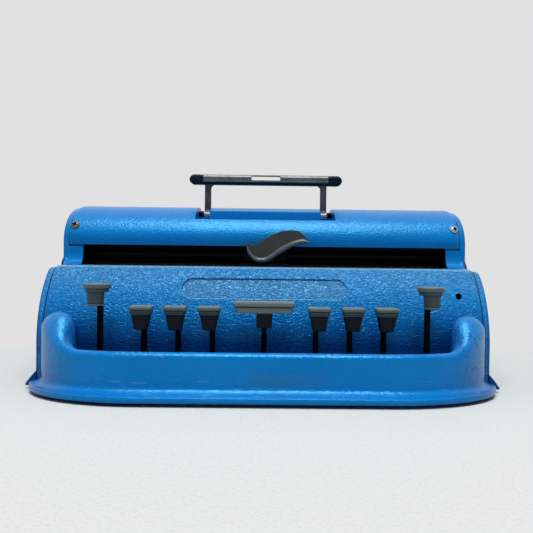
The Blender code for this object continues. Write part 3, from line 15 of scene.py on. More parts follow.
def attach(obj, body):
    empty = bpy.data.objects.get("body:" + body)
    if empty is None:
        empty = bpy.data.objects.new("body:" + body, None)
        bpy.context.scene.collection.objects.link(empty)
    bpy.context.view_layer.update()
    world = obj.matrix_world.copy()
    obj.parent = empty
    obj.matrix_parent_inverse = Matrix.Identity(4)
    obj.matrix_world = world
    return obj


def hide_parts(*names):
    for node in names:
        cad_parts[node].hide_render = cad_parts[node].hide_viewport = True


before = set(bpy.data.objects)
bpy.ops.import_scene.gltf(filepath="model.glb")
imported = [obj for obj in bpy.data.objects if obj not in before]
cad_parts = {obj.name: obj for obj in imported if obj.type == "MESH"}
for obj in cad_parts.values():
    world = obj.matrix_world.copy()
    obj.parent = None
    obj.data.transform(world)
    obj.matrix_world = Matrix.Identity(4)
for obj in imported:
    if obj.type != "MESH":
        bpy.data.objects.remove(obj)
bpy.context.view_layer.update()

# %% [markdown]
# ## Drawing in millimetres
# A maker's drawing gives points in millimetres, and Blender works in metres, so one helper pulls a drawn outline
# into a solid: it adds a filled circle, sets its corners on the first ring, and extrudes it through the others. A
# plate, a turned knob and a rail whose section changes all come from this one way of working.

# %% Selecting and pulling
MM = 0.001


def select_only(piece):
    bpy.ops.object.select_all(action="DESELECT")
    piece.select_set(True)
    bpy.context.view_layer.objects.active = piece


def selected_corners(shape):
    return list(next(face for face in shape.faces if face.select).verts)


def pull(name, rings):
    """A solid through rings of points, all with the same number of points, in millimetres."""
    count = len(rings[0])
    bpy.ops.object.select_all(action="DESELECT")
    bpy.ops.mesh.primitive_circle_add(vertices=count, fill_type="NGON")
    piece = bpy.context.object
    piece.name = name
    piece.data.name = name
    bpy.ops.object.mode_set(mode="EDIT")
    shape = bmesh.from_edit_mesh(piece.data)
    corners = selected_corners(shape)
    for number, ring in enumerate(rings):
        points = [Vector(point) * MM for point in ring]
        if number:
            bpy.ops.mesh.extrude_region_move()
            shape = bmesh.from_edit_mesh(piece.data)
            fresh = selected_corners(shape)
            start = min(range(count), key=lambda i: (fresh[0].co - placed[i]).length)
            second = (fresh[1].co - placed[(start + 1) % count]).length
            turn = 1 if second <= (fresh[1].co - placed[start - 1]).length else -1
            corners = [fresh[(turn * (i - start)) % count] for i in range(count)]
        for corner, point in zip(corners, points):
            corner.co = point
        placed = points
    bmesh.update_edit_mesh(piece.data)
    bpy.ops.mesh.select_all(action="SELECT")
    bpy.ops.mesh.normals_make_consistent(inside=False)
    bpy.ops.object.mode_set(mode="OBJECT")
    return piece


def arc(centre, radii, start, end, steps):
    """Points along an elliptical arc between two angles in degrees."""
    points = []
    for i in range(steps + 1):
        angle = math.radians(start + (end - start) * i / steps)
        points.append((centre[0] + radii[0] * math.cos(angle), centre[1] + radii[1] * math.sin(angle)))
    return points


def round_outline(centre, radius, steps=48):
    return arc(centre, (radius, radius), 0, 360, steps)[:-1]


def corner_arcs(centre, width, height, corner):
    """The four corners of a rounded rectangle, as one list of points each."""
    arcs = []
    for i, (u, v) in enumerate(((1, 1), (-1, 1), (-1, -1), (1, -1))):
        middle = (centre[0] + u * (width / 2 - corner), centre[1] + v * (height / 2 - corner))
        arcs.append(arc(middle, (corner, corner), 90 * i, 90 * i + 90, 8))
    return arcs


def lay(outline, axis, at):
    """A flat outline as a ring of points across an axis, at a distance along it."""
    if axis == "X":
        return [(at, u, v) for u, v in outline]
    if axis == "Y":
        return [(u, at, v) for u, v in outline]
    return [(u, v, at) for u, v in outline]


def plate(name, outline, axis, low, high):
    return pull(name, [lay(outline, axis, low), lay(outline, axis, high)])


def bar(name, axis, centre, radius, low, high, chamfer=0.4):
    """A round bar with chamfered ends."""
    thin = radius - chamfer
    rings = [(low, thin), (low + chamfer, radius), (high - chamfer, radius), (high, thin)]
    return pull(name, [lay(round_outline(centre, size), axis, at) for at, size in rings])


print("drawing helpers are ready")

# %% [markdown]
# ## Finishing a solid
# Real castings and sheets have no razor edges. A solid is cut or joined with Boolean modifiers, its edges are
# softened with a Bevel, and a Weighted Normal keeps the flat faces flat under smooth shading. Each modifier is
# applied at once, so that what is left is plain mesh.

# %% Cutting, joining and softening
def apply_modifier(piece, kind, **settings):
    step = piece.modifiers.new(kind.title(), kind)
    for name, value in settings.items():
        setattr(step, name, value)
    select_only(piece)
    bpy.ops.object.modifier_apply(modifier=step.name)


def combine(piece, operation, *tools):
    for tool in tools:
        apply_modifier(piece, "BOOLEAN", operation=operation, solver="EXACT", object=tool)
        bpy.data.objects.remove(tool)
    return piece


def cut(piece, *tools):
    return combine(piece, "DIFFERENCE", *tools)


def join(piece, *tools):
    return combine(piece, "UNION", *tools)


def block(name, low, high):
    """A box between two corners, in millimetres, for cutting and joining."""
    size = [(b - a) * MM for a, b in zip(low, high)]
    middle = [(a + b) / 2 * MM for a, b in zip(low, high)]
    bpy.ops.object.select_all(action="DESELECT")
    bpy.ops.mesh.primitive_cube_add(size=1, location=middle, scale=size)
    piece = bpy.context.object
    piece.name = name
    bpy.ops.object.transform_apply(location=True, rotation=True, scale=True)
    return piece


def soften(piece, width, segments=2, angle=30):
    """Rounds the edges that are sharper than an angle, by a width in millimetres."""
    apply_modifier(piece, "BEVEL", width=width * MM, segments=segments, limit_method="ANGLE",
                   angle_limit=math.radians(angle), use_clamp_overlap=True)
    return piece


def shade(piece, angle=40):
    select_only(piece)
    bpy.ops.object.shade_smooth_by_angle(angle=math.radians(angle))
    apply_modifier(piece, "WEIGHTED_NORMAL", keep_sharp=True)
    return piece


def repeat(piece, name, shift):
    """A copy with a mesh of its own, moved by a shift in millimetres."""
    twin = bpy.data.objects.new(name, piece.data.copy())
    bpy.context.scene.collection.objects.link(twin)
    twin.data.transform(Matrix.Translation(Vector(shift) * MM))
    return twin


def shape_from_node(node):
    """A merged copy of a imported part's mesh, ready to be softened."""
    piece = bpy.data.objects.new(node + "_shape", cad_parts[node].data.copy())
    bpy.context.scene.collection.objects.link(piece)
    select_only(piece)
    bpy.ops.mesh.customdata_custom_splitnormals_clear()
    bpy.ops.object.mode_set(mode="EDIT")
    bpy.ops.mesh.select_all(action="SELECT")
    bpy.ops.mesh.remove_doubles(threshold=0.002 * MM)
    bpy.ops.mesh.dissolve_limited(angle_limit=math.radians(1))
    bpy.ops.object.mode_set(mode="OBJECT")
    return piece


print("finishing helpers are ready")

# %% [markdown]
# ## Paint as sums
# A material is a graph of nodes, and a graph is easier to read as sums. A Signal wraps one socket and turns plus,
# minus and times into Math nodes. A Graph adds any other node in one way: its kind, the values or signals that go
# into its sockets, and its settings. A Finish is the graph of one material. The world gets a graph of its own.

# %% Signals and finishes
class Signal:
    """One socket's value, on which Python's own signs work."""

    def __init__(self, graph, socket):
        self.graph = graph
        self.socket = socket

    def maths(self, operation, first, second=0.0):
        return self.graph.add("Math", {0: first, 1: second}, operation=operation)

    def __add__(self, other):
        return self.maths("ADD", self, other)

    def __radd__(self, other):
        return self.maths("ADD", other, self)

    def __sub__(self, other):
        return self.maths("SUBTRACT", self, other)

    def __rsub__(self, other):
        return self.maths("SUBTRACT", other, self)

    def __mul__(self, other):
        return self.maths("MULTIPLY", self, other)

    def __rmul__(self, other):
        return self.maths("MULTIPLY", other, self)

    def __abs__(self):
        return self.maths("ABSOLUTE", self)

    def rise(self, low, high):
        """0 below the low value, 1 above the high one, and smooth between them."""
        values = {"Value": self, "From Min": low, "From Max": high}
        return self.graph.add("MapRange", values, interpolation_type="SMOOTHSTEP")

    def band(self, low, high, edge):
        """1 between two values, with soft edges."""
        return self.rise(low - edge, low + edge) * (1 - self.rise(high - edge, high + edge))


class Graph:
    """A tree of shader nodes."""

    def __init__(self, tree):
        self.tree = tree

    def add(self, kind, values, output=0, **settings):
        node = self.tree.nodes.new("ShaderNode" + kind)
        for name, value in settings.items():
            setattr(node, name, value)
        for key, value in values.items():
            self.feed(node.inputs[key], value)
        return Signal(self, node.outputs[output])

    def feed(self, socket, value):
        if isinstance(value, Signal):
            self.tree.links.new(value.socket, socket)
        elif socket.type == "RGBA":
            socket.default_value = (*value, 1)
        else:
            socket.default_value = value

    def larger(self, first, second):
        return self.add("Math", {0: first, 1: second}, operation="MAXIMUM")

    def seen(self):
        """1 where the camera looks, directly, by reflection or through glass, and 0 for light that only fills."""
        rays = [self.add("LightPath", {}, f"Is {kind} Ray") for kind in ("Camera", "Glossy", "Transmission")]
        return self.larger(self.larger(rays[0], rays[1]), rays[2])


class Finish(Graph):
    """A material round one Principled shader."""

    def __init__(self, name, **constants):
        self.material = bpy.data.materials.new(name)
        self.material.use_nodes = True
        super().__init__(self.material.node_tree)
        self.shader = self.tree.nodes["Principled BSDF"]
        self.place = self.add("TexCoord", {}, "Object")
        self.x, self.y, self.z = (self.add("SeparateXYZ", {0: self.place}, i) * 1000 for i in range(3))
        for label, value in constants.items():
            self.feed(self.shader.inputs[label.replace("_", " ")], value)
        print("finish:", name)

    def noise(self, size, stretch=(1, 1, 1), detail=2, twist=0.0):
        """A cloudy value whose patches are about a size in millimetres across, stretched along each axis."""
        scaled = self.add("VectorMath", {0: self.place, 1: stretch}, operation="DIVIDE")
        values = {"Vector": scaled, "Scale": 1 / (size * MM), "Detail": detail, "Distortion": twist}
        return self.add("TexNoise", values)

    def mix(self, share, first, second):
        return self.add("Mix", {0: share, 6: first, 7: second}, 2, data_type="RGBA")

    def bump(self, height, depth, under=None):
        """Turns a height from 0 to 1 into dents and ridges of a depth in millimetres."""
        values = {"Height": height, "Distance": depth * MM}
        if under:
            values["Normal"] = under
        return self.add("Bump", values)

    def coat(self, colour, roughness, normal=None):
        self.feed(self.shader.inputs["Base Color"], colour)
        self.feed(self.shader.inputs["Roughness"], roughness)
        if normal:
            self.feed(self.shader.inputs["Normal"], normal)
        return self.material


def colour(red, green, blue):
    """A colour as it reads on a screen, from 0 to 255, in the linear values that a shader takes."""
    values = []
    for part in (red, green, blue):
        share = part / 255
        values.append(share / 12.92 if share <= 0.04045 else ((share + 0.055) / 1.055) ** 2.4)
    return tuple(values)


print("paint helpers are ready")

# %% [markdown]
# ## Blue enamel
# The casings are stove-enamelled in one blue. The front panel and the edges of the end panels have a wrinkle coat,
# whose short worm-like ridges run across the sheet. The cover and the cast base are smoother, with a faint orange
# peel. A ridge comes from folding a cloudy value about its middle. Wear is paint thinned to a chalky tone: scuffs on
# the guard rail's crown and right end, and long scratches along the cove above the flange. Light and shade are
# painted in too. The painted highlights are the paler ridge tops high on the panel, a pale line along its top lip, pale
# crinkles on the rolled edges of the end panels and a pale lower edge round the pressed field. The painted shade is the
# deeper blue low on the panel, the end panels and the cover, on the inner sides of the rail's ends, at the base's
# ends and foot, on the outer sides of the end panels and along the field's upper edge. A greyish painted sheen lies
# on the rail's ends.

# %% The enamels
BLUE = colour(1, 122, 201)
DEEP_BLUE = colour(1, 106, 186)
WEAR_AND_HIGHLIGHT_BLUE = colour(104, 160, 200)
FIELD_BLUE = colour(100, 138, 174)
PAINTED_HIGHLIGHT_BLUE = colour(150, 196, 228)
SHADE_BLUE = colour(0, 58, 134)
SIDE_SHEEN = colour(112, 132, 172)
SHEEN = (0.1, 0.55, 0.82)
FIELD_HALF_LENGTH = 66
FIELD_BOTTOM = 71.6
FIELD_HEIGHT = 15.5


def wrinkle_enamel(name, only_edges=False):
    paint = Finish(name, Metallic=0.0, Specular_Tint=SHEEN, Specular_IOR_Level=1.0)
    ridges = 1 - abs(paint.noise(2.1, (1.8, 1, 1), 1.5, 0.8) * 2 - 1) * 2.4
    grain = paint.noise(0.9, (1.4, 1, 1), 2)
    height = (ridges.rise(0, 1) * 0.8 + grain * 0.25) * (0.3 + paint.z.rise(52, 84) * 0.7)
    if only_edges:
        height = height * abs(paint.x).rise(172.9, 173.4) * (1 - paint.z.rise(96, 104))
    cloud = paint.noise(60, detail=3)
    tone = paint.mix(cloud.rise(0.35, 0.65) * 0.35, BLUE, DEEP_BLUE)
    # Ridge tops high on the panel are painted paler: a painted highlight where the overhead light glints on them.
    tone = paint.mix(height.rise(0.45, 1) * paint.z.rise(66, 92) * 0.45, tone, WEAR_AND_HIGHLIGHT_BLUE)
    tone = paint.mix((1 - paint.z.rise(32, 78)) * 0.92, tone, SHADE_BLUE)
    outside = abs(paint.x).rise(176.2, 178)
    tone = paint.mix(outside * 0.4, tone, SHADE_BLUE)
    if only_edges:
        # Pale crinkles along the rolled outer edge are a painted highlight.
        painted_highlight = abs(paint.x).band(174.3, 176.2, 0.6) * ridges.rise(0.1, 0.9) * (1 - paint.z.rise(90, 104))
        tone = paint.mix(painted_highlight * 0.5, tone, colour(50, 150, 214))
    else:
        # A pale line along the sheet's top lip is a painted highlight.
        lip = paint.z.rise(94.6, 96) * (1 - paint.y.rise(-20, -10)) * (0.3 + grain * 0.7)
        tone = paint.mix(lip, tone, PAINTED_HIGHLIGHT_BLUE)
        radius = FIELD_HEIGHT / 2
        beyond = paint.larger(abs(paint.x) - (FIELD_HALF_LENGTH - radius), 0.0)
        off_middle = paint.z - (FIELD_BOTTOM + radius)
        # The squared distance from the field's middle line, in square millimetres. The field's edge lies at 60.
        from_middle = beyond * beyond + off_middle * off_middle
        pressed = 1 - from_middle.rise(50, 58)
        # Round the pressed field the upper edge is painted shade and the lower edge a painted highlight.
        step = from_middle.band(57, 70, 5)
        tone = paint.mix(step * paint.z.rise(76, 80) * 0.8, tone, SHADE_BLUE)
        tone = paint.mix(step * (1 - paint.z.rise(74, 78)) * 0.4, tone, PAINTED_HIGHLIGHT_BLUE)
        tone = paint.mix(pressed * 0.35, tone, FIELD_BLUE)
    return paint.coat(tone, 0.17 + cloud * 0.08 + outside * 0.6, paint.bump(height, 0.85))


def smooth_enamel(name, worn=False):
    paint = Finish(name, Metallic=0.0, Specular_Tint=SHEEN, Specular_IOR_Level=1.0)
    peel = paint.noise(1.8, (1.3, 1, 1), 2)
    swell = paint.noise(14)
    cloud = paint.noise(55, detail=3)
    tone = paint.mix(cloud.rise(0.35, 0.65) * 0.3, BLUE, DEEP_BLUE)
    rough = 0.2 + swell * 0.12
    if worn:
        speck = paint.noise(1.6, (1.6, 1, 1), 3).rise(0.56, 0.66)
        patch = paint.noise(17, (1.8, 1, 1), 2).rise(0.5, 0.62)
        crown = paint.z.band(33.4, 62, 1.2) * paint.y.band(-108, -80, 2)
        knocks = paint.x.band(132, 176, 8) * paint.z.band(16, 56, 5) * 0.8
        scuffs = speck * patch * paint.larger(crown, knocks)
        nicks = paint.noise(2.4, (2.4, 1, 1), 2).rise(0.62, 0.66) * paint.x.band(146, 182, 5)
        smudge = cloud.rise(0.4, 0.6) * paint.x.band(-30, 44, 14) * paint.z.band(13, 22, 4)
        long_marks = paint.noise(2.4, (9, 1, 0.6), 3).rise(0.6, 0.68)
        scratch = long_marks * paint.z.band(6, 18, 2) * (0.4 + paint.x.band(-112, 0, 8) * 0.5)
        tone = paint.mix(abs(paint.x).rise(140, 172) * 0.2, tone, SIDE_SHEEN)
        tone = paint.mix(scuffs * 0.75, tone, WEAR_AND_HIGHLIGHT_BLUE)
        tone = paint.mix(scratch * 0.6, tone, WEAR_AND_HIGHLIGHT_BLUE)
        tone = paint.mix(smudge * 0.3, tone, colour(60, 96, 130))
        tone = paint.mix(nicks * paint.z.band(14, 50, 5) * 0.8, tone, colour(6, 48, 108))
        inner_side = abs(paint.x).band(135, 147, 4) * paint.z.rise(36, 44) * paint.y.rise(-108, -98)
        low_edge = 1 - paint.z.rise(2.5, 6)
        low_ends = abs(paint.x).rise(125, 170) * (1 - paint.z.rise(16, 44)) * 0.7
        shaded = paint.larger(paint.larger(inner_side * 1.4, low_ends), low_edge)
        tone = paint.mix(shaded * 0.6, tone, SHADE_BLUE)
        rough = rough + scuffs * 0.2
    else:
        low_edge = (1 - paint.z.rise(114, 127)) * (1 - paint.y.rise(30, 40))
        tone = paint.mix(low_edge * 0.5, tone, SHADE_BLUE)
    relief = paint.bump(swell, 0.14, paint.bump(peel, 0.34))
    return paint.coat(tone, rough, relief)


# This near-black finish is painted shade. It goes on faces inside the casings, the back of the front panel and the
# cross of each screw, in place of their blue enamel or steel.
def painted_shade_finish(name):
    paint = Finish(name, Metallic=0.0, Specular_IOR_Level=0.1)
    dust = paint.noise(6, detail=4)
    return paint.coat(paint.mix(dust.rise(0.45, 0.8), colour(5, 5, 5), colour(14, 13, 12)), 0.75 + dust * 0.1)


wrinkled = wrinkle_enamel("wrinkle_enamel")
end_blue = wrinkle_enamel("end_panel_enamel", only_edges=True)
smooth = smooth_enamel("smooth_enamel")
cast_blue = smooth_enamel("cast_base_enamel", worn=True)
inside_shade = painted_shade_finish("inside_painted_shade")

# %% [markdown]
# ## Plastic, steel, brass and rubber
# The key caps are moulded in a dark blue-grey plastic. Their rims and upper edges are painted paler as a painted
# highlight, and thin dark lines under their steps are painted shade. The hand lever's raised lip is painted paler
# too, as a painted highlight. The key levers are blacked steel, the rails bright steel, the racks and the ratchet
# brass, and the feet and rollers rubber. The carriage rails, the release shaft and the die head sit deep inside and
# are painted near black as painted shade, and the brass is painted dark, as tarnish together with painted shade.
# Every one has its own grain, and grime or brushing that varies over it, so none is a single flat colour.

# %% Plastics and rubber
# Colours for the painted highlight and the painted shade along the caps' steps.
EDGE_HIGHLIGHT = colour(126, 140, 142)
STEP_SHADE = colour(2, 8, 12)


def cap_plastic(name, body, rim, low, high, steps):
    """Plastic painted paler above a height, as a painted highlight. A step has a height and a strength: a dark line of
    painted shade, or a pale line of painted highlight where the strength is negative.
    """
    paint = Finish(name, Metallic=0.0, Specular_IOR_Level=0.15)
    grain = paint.noise(0.5)
    cloud = paint.noise(5, detail=3)
    painted_highlight = paint.z.rise(low, high) * (0.75 + cloud * 0.5)
    tone = paint.mix(painted_highlight, body, rim)
    tone = paint.mix(cloud.rise(0.5, 0.75) * 0.15 * painted_highlight, tone, colour(104, 114, 114))
    for at, strength in steps:
        line = paint.z.band(at - 0.35, at + 0.35, 0.3) * abs(strength)
        tone = paint.mix(line, tone, EDGE_HIGHLIGHT if strength < 0 else STEP_SHADE)
    return paint.coat(tone, 0.3 + cloud * 0.15, paint.bump(grain, 0.03))


def plain_plastic(name, tone, pale, roughness, size=4, gloss=0.3):
    paint = Finish(name, Metallic=0.0, Specular_IOR_Level=gloss)
    grain = paint.noise(0.6)
    cloud = paint.noise(size, detail=4)
    return paint.coat(paint.mix(cloud.rise(0.4, 0.75) * 0.5, tone, pale), roughness + cloud * 0.12,
                      paint.bump(grain, 0.03))


def lever_finish(name, tone, pale, lip):
    """Plastic that is dull on the flat face and glossy on the raised lip in front of it. The lip's paler colour is a
    painted highlight.
    """
    paint = Finish(name, Metallic=0.0, Specular_IOR_Level=0.5)
    grain = paint.noise(0.6)
    cloud = paint.noise(9, detail=4)
    raised = 1 - paint.y.rise(2.6, 3.9)
    tone = paint.mix(cloud.rise(0.4, 0.75) * 0.5, tone, pale)
    # The raised lip is painted paler: a painted highlight.
    tone = paint.mix(raised * 0.8, tone, lip)
    return paint.coat(tone, 0.5 - raised * 0.3 + cloud * 0.06, paint.bump(grain, 0.03))


dot_plastic = cap_plastic("dot_cap_plastic", colour(2, 14, 26), colour(84, 100, 102), 61.2, 64.2,
                          ((64, 0.9), (66.7, -0.7), (61.3, -0.4)))
space_plastic = cap_plastic("space_cap_plastic", colour(3, 13, 22), colour(112, 120, 118), 61.8, 63.2,
                            ((67.2, 0.9), (70.8, -0.7), (63.6, -0.4)))
end_plastic = cap_plastic("end_cap_plastic", colour(74, 86, 90), colour(86, 98, 100), 77.5, 80.5,
                          ((79.7, 0.9), (83.3, -0.7), (68.9, 0.6), (67.6, -0.6), (77.2, 0.5)))
knob_plastic = plain_plastic("knob_plastic", colour(30, 34, 38), colour(56, 60, 62), 0.38)
grip_plastic = plain_plastic("grip_plastic", colour(8, 24, 42), colour(18, 36, 56), 0.4, gloss=0.1)
lever_plastic = lever_finish("hand_lever_plastic", colour(44, 48, 46), colour(56, 60, 58),
                             colour(96, 101, 101))
rubber = plain_plastic("rubber", colour(30, 30, 30), colour(52, 51, 49), 0.75, 3)

# %% Metals
def metal(name, tone, shade_tone, roughness, brush=(12, 1, 1), metallic=1.0, grime=0.5):
    """Metal brushed along one axis, with darker patches over it."""
    paint = Finish(name, Metallic=metallic)
    lines = paint.noise(0.35, brush, 3)
    cloud = paint.noise(7, detail=4)
    tone = paint.mix(cloud.rise(0.42, 0.72) * grime, tone, shade_tone)
    return paint.coat(tone, roughness + lines * 0.12 + cloud * 0.08, paint.bump(lines, 0.02))


def handle_steel(name, tone, shade_tone, bright):
    """Grey steel, paler at the foot round its pins."""
    paint = Finish(name, Metallic=0.9)
    lines = paint.noise(0.4, (1, 1, 14), 3)
    cloud = paint.noise(6, detail=4)
    tone = paint.mix(cloud.rise(0.4, 0.7) * 0.6, tone, shade_tone)
    foot = 1 - paint.z.rise(147.3, 150.8)
    tone = paint.mix(foot * (0.6 + cloud * 0.4), tone, bright)
    return paint.coat(tone, 0.36 + lines * 0.14, paint.bump(lines, 0.03))


UNBRUSHED = (1, 1, 1)
bright_steel = metal("bright_steel", colour(196, 194, 190), colour(120, 116, 110), 0.22)
rusty_steel = metal("rusty_steel", colour(150, 128, 108), colour(98, 62, 40), 0.4, grime=0.9)
black_steel = plain_plastic("blacked_steel", colour(2, 2, 3), colour(7, 7, 8), 0.5, 6, gloss=0.05)
dull_steel = metal("dull_steel", colour(104, 104, 102), colour(58, 56, 52), 0.4)
# The two near-black finishes below, for the rails, the release shaft and the die head deep inside, are painted shade.
shade_darkened_steel = metal("shade_darkened_steel", colour(24, 23, 21), colour(12, 11, 10), 0.5, metallic=0.4)
cast_metal = metal("cast_metal", colour(58, 58, 56), colour(30, 28, 26), 0.5, UNBRUSHED, metallic=0.6)
shade_darkened_metal = metal("shade_darkened_metal", colour(18, 18, 17), colour(8, 8, 8), 0.55, UNBRUSHED, metallic=0.2)
# Brass is painted dark: tarnish together with painted shade, as it sits inside the machine.
brass = metal("brass", colour(74, 60, 36), colour(30, 24, 16), 0.45, grime=0.9)
frame_steel = handle_steel("handle_frame_steel", colour(82, 85, 90), colour(46, 48, 54),
                           colour(190, 188, 184))
sleeve_steel = metal("grip_sleeve_steel", colour(108, 112, 116), colour(68, 72, 78), 0.28, (14, 1, 1),
                     metallic=0.85)

# %% [markdown]
# ## Handing a piece over
# A finished piece is told which body it rides on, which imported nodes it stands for, and whose finish it takes. One
# helper does all of that and prints what it made, so nothing is left without a material or a body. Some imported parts
# already have the right shape: a merged copy of such a part only has its edges softened.

# %% Handing over
def hand_over(piece, body, slot, finish, *nodes):
    piece.data.materials.clear()
    piece.data.materials.append(finish)
    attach(piece, body)
    if nodes:
        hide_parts(*nodes)
    print(piece.name, len(piece.data.polygons), "faces")
    return piece


def soft_copy(node, body, slot, finish, width, segments=2, angle=30):
    piece = soften(shape_from_node(node), width, segments, angle)
    hand_over(shade(piece), body, slot, finish, node)


def line_with(piece, finish, inside):
    """Gives the faces that a test picks, by their middle in millimetres and their normal, a second material."""
    piece.data.materials.append(finish)
    for face in piece.data.polygons:
        if inside(face.center / MM, face.normal):
            face.material_index = 1


# %% [markdown]
# ## The cast base
# On the real machine the floor, its flange and the guard rail are one casting. The floor is a flat plate. The rail
# follows a quarter ellipse at each front corner, where it grows from a thin wall into a thick rounded end. It could
# be sculpted, but a section set at many stations keeps it fair: each ring has a cove, an upright face, a round crown
# and an inner face, and only its width and height change on the way round.

# %% The guard rail's section
CORNER = Vector((90, -49.5))
EDGE = Vector((91.5, 65))
FACE = Vector((83, 54))
RAIL_WIDTH, WIDTH_GAIN = 9, 18
RAIL_TOP, TOP_GAIN = 36.4, 24.6
GROWTH_START, GROWTH_TURN = 57, 45
COVE_FOOT, COVE_TOP = 7, 12.5
RAIL_SINK = 6.2
RAIL_END_Y = -54.8


def ease(share):
    share = min(max(share, 0), 1)
    return share * share * (3 - 2 * share)


def guard_section(angle, side):
    """The section at an angle round the corner, 90 in front and 0 at the side."""
    turn = math.radians(angle)
    across, along = math.cos(turn), math.sin(turn)
    edge = CORNER + Vector((EDGE.x * across, -EDGE.y * along))
    outer = CORNER + Vector((FACE.x * across, -FACE.y * along))
    normal = Vector((across / FACE.x, -along / FACE.y)).normalized()
    growth = ease((GROWTH_START - angle) / GROWTH_TURN)
    inward = (-normal).lerp(Vector((-1, 0)), growth).normalized()
    inner = outer + inward * (RAIL_WIDTH + WIDTH_GAIN * growth)
    foot = outer.lerp(edge, 0.92)
    foot.y += (outer.y - foot.y) * growth
    height = RAIL_TOP + TOP_GAIN * growth
    radius = (inner - outer).length / 2
    points = [(foot, RAIL_SINK)]
    for step in range(0, 91, 15):
        share = math.sin(math.radians(step))
        rise = (COVE_TOP - COVE_FOOT) * (1 - math.cos(math.radians(step)))
        points.append((foot.lerp(outer, share), COVE_FOOT + rise))
    points.append((outer, COVE_TOP + (height - radius - COVE_TOP) / 2))
    for step in range(0, 181, 12):
        share = (1 - math.cos(math.radians(step))) / 2
        rise = math.sin(math.radians(step))
        points.append((outer.lerp(inner, share), height - radius * (1 - rise)))
    points.append((inner, RAIL_SINK))
    return [(side * plan.x, plan.y, z) for plan, z in points]


LAST_ANGLE = math.degrees(math.asin((CORNER.y - RAIL_END_Y) / FACE.y))
turns = [90 + (LAST_ANGLE - 90) * i / 56 for i in range(57)]
rail_rings = [guard_section(turn, -1) for turn in reversed(turns)] + [guard_section(turn, 1) for turn in turns]
rail = pull("guard_rail", rail_rings)
print("guard rail stations:", len(rail_rings))

# %% The floor plate and the whole casting
half_floor = arc(CORNER, EDGE, -90, 0, 48) + arc((169.5, 102.5), (12, 12), 0, 90, 12)
floor_outline = half_floor + [(-x, y) for x, y in reversed(half_floor)]
base = plate("base_casting_shape", floor_outline, "Z", 2.6, 7)
soften(base, 0.9, 3)
join(base, rail)
hand_over(shade(base), "housing", "blue_paint", cast_blue, "base_casting")

# %% The feet
foot = pull("foot_front_left_shape", [lay(round_outline((-118, -82.5), r), "Z", z)
                                      for r, z in ((7.4, 0), (8, 0.5), (8, 2), (7.7, 2.3))])
shade(foot)
feet = {"foot_front_left": foot}
for node, shift in (("foot_front_right", (236, 0, 0)), ("foot_rear_left", (0, 175, 0)),
                    ("foot_rear_right", (236, 175, 0))):
    feet[node] = repeat(foot, node + "_shape", shift)
for node, piece in feet.items():
    hand_over(piece, "housing", "rubber", rubber, node)

# %% [markdown]
# ## The front panel
# A sheet that is bent from its upright foot, over a wide and then a tight arc, to the level sill of the paper slot.
# Its two ends are rolled in, which leaves a dark groove beside each end panel. The profile is drawn from the side and
# pulled across, and near each end it sinks a little from ring to ring. The shallow stadium-shaped field is pressed
# into the curve: a layer that follows the sheet is trimmed to the stadium and then cut away, so the field keeps the
# same depth all over. It stays bare. A small hole is drilled near the right end. The back of the sheet is painted
# near black, as painted shade.

# %% The front panel's sheet
SHEET_HALF_WIDTH = 172.8
SHEET_THICKNESS = 2.2
PANEL_CENTRE, PANEL_RADIUS = (19, 36), 73.5
SILL_CENTRE, SILL_RADIUS, SILL_TOP = (-19.5, 86.5), 10, 96.5
BEND_ANGLE = 127.32


def panel_curve(inset, end=17.5):
    """The wide arc, the tight arc and the level run, sunk by an inset."""
    wide = arc(PANEL_CENTRE, (PANEL_RADIUS - inset, PANEL_RADIUS - inset), 180, BEND_ANGLE, 36)
    tight = arc(SILL_CENTRE, (SILL_RADIUS - inset, SILL_RADIUS - inset), BEND_ANGLE, 90, 10)
    return wide + tight[1:] + [(end, SILL_TOP - inset)]


def mirror(rings):
    return [[(-x, y, z) for x, y, z in ring] for ring in rings]


def back_of(sunk):
    """How far the back of a sheet lies below its unsunk face: it sinks less than the face does."""
    return SHEET_THICKNESS + 0.6 * sunk


def rolled_ends(draw, sink, roll=3):
    """Rings across a sheet that draw(sunk) outlines, sunk more and more over the roll at each end."""
    rings = []
    for turn in (0, 18, 36, 54, 72, 90):
        x = SHEET_HALF_WIDTH - roll + roll * math.cos(math.radians(turn))
        rings.append(lay(draw(sink * (1 - math.sin(math.radians(turn)))), "X", x))
    return rings + mirror(reversed(rings))


def stadium(half_length, bottom, height, steps=20):
    radius = height / 2
    right = arc((half_length - radius, bottom + radius), (radius, radius), -90, 90, steps)
    left = arc((radius - half_length, bottom + radius), (radius, radius), 90, 270, steps)
    return right + left


def sheet_outline(sunk):
    back = back_of(sunk)
    return [(-54.5 + sunk, 26)] + panel_curve(sunk) + panel_curve(back)[::-1] + [(-54.5 + back, 26)]


panel = pull("front_panel_shape", rolled_ends(sheet_outline, 2.4))
field = plate("field_layer", panel_curve(-5, 13) + panel_curve(0.9, 13)[::-1], "X", -72, 72)
field_outline = stadium(FIELD_HALF_LENGTH, FIELD_BOTTOM, FIELD_HEIGHT)
combine(field, "INTERSECT", plate("field_edge", field_outline, "Y", -60, 12))
cut(panel, field, bar("panel_hole", "Y", (155.5, 75.1), 2.5, -60, 12, 0))
soften(panel, 0.4, 2)
hand_over(shade(panel), "housing", "blue_paint", wrinkled, "front_panel")


def behind_panel(middle, normal):
    """Faces of the sheet's back: they look towards the inside of the machine."""
    y, z = PANEL_CENTRE
    towards_inside = normal.y * (y - middle.y) + normal.z * (min(z, middle.z) - middle.z)
    return towards_inside > 4 and abs(normal.x) < 0.9


line_with(panel, inside_shade, behind_panel)

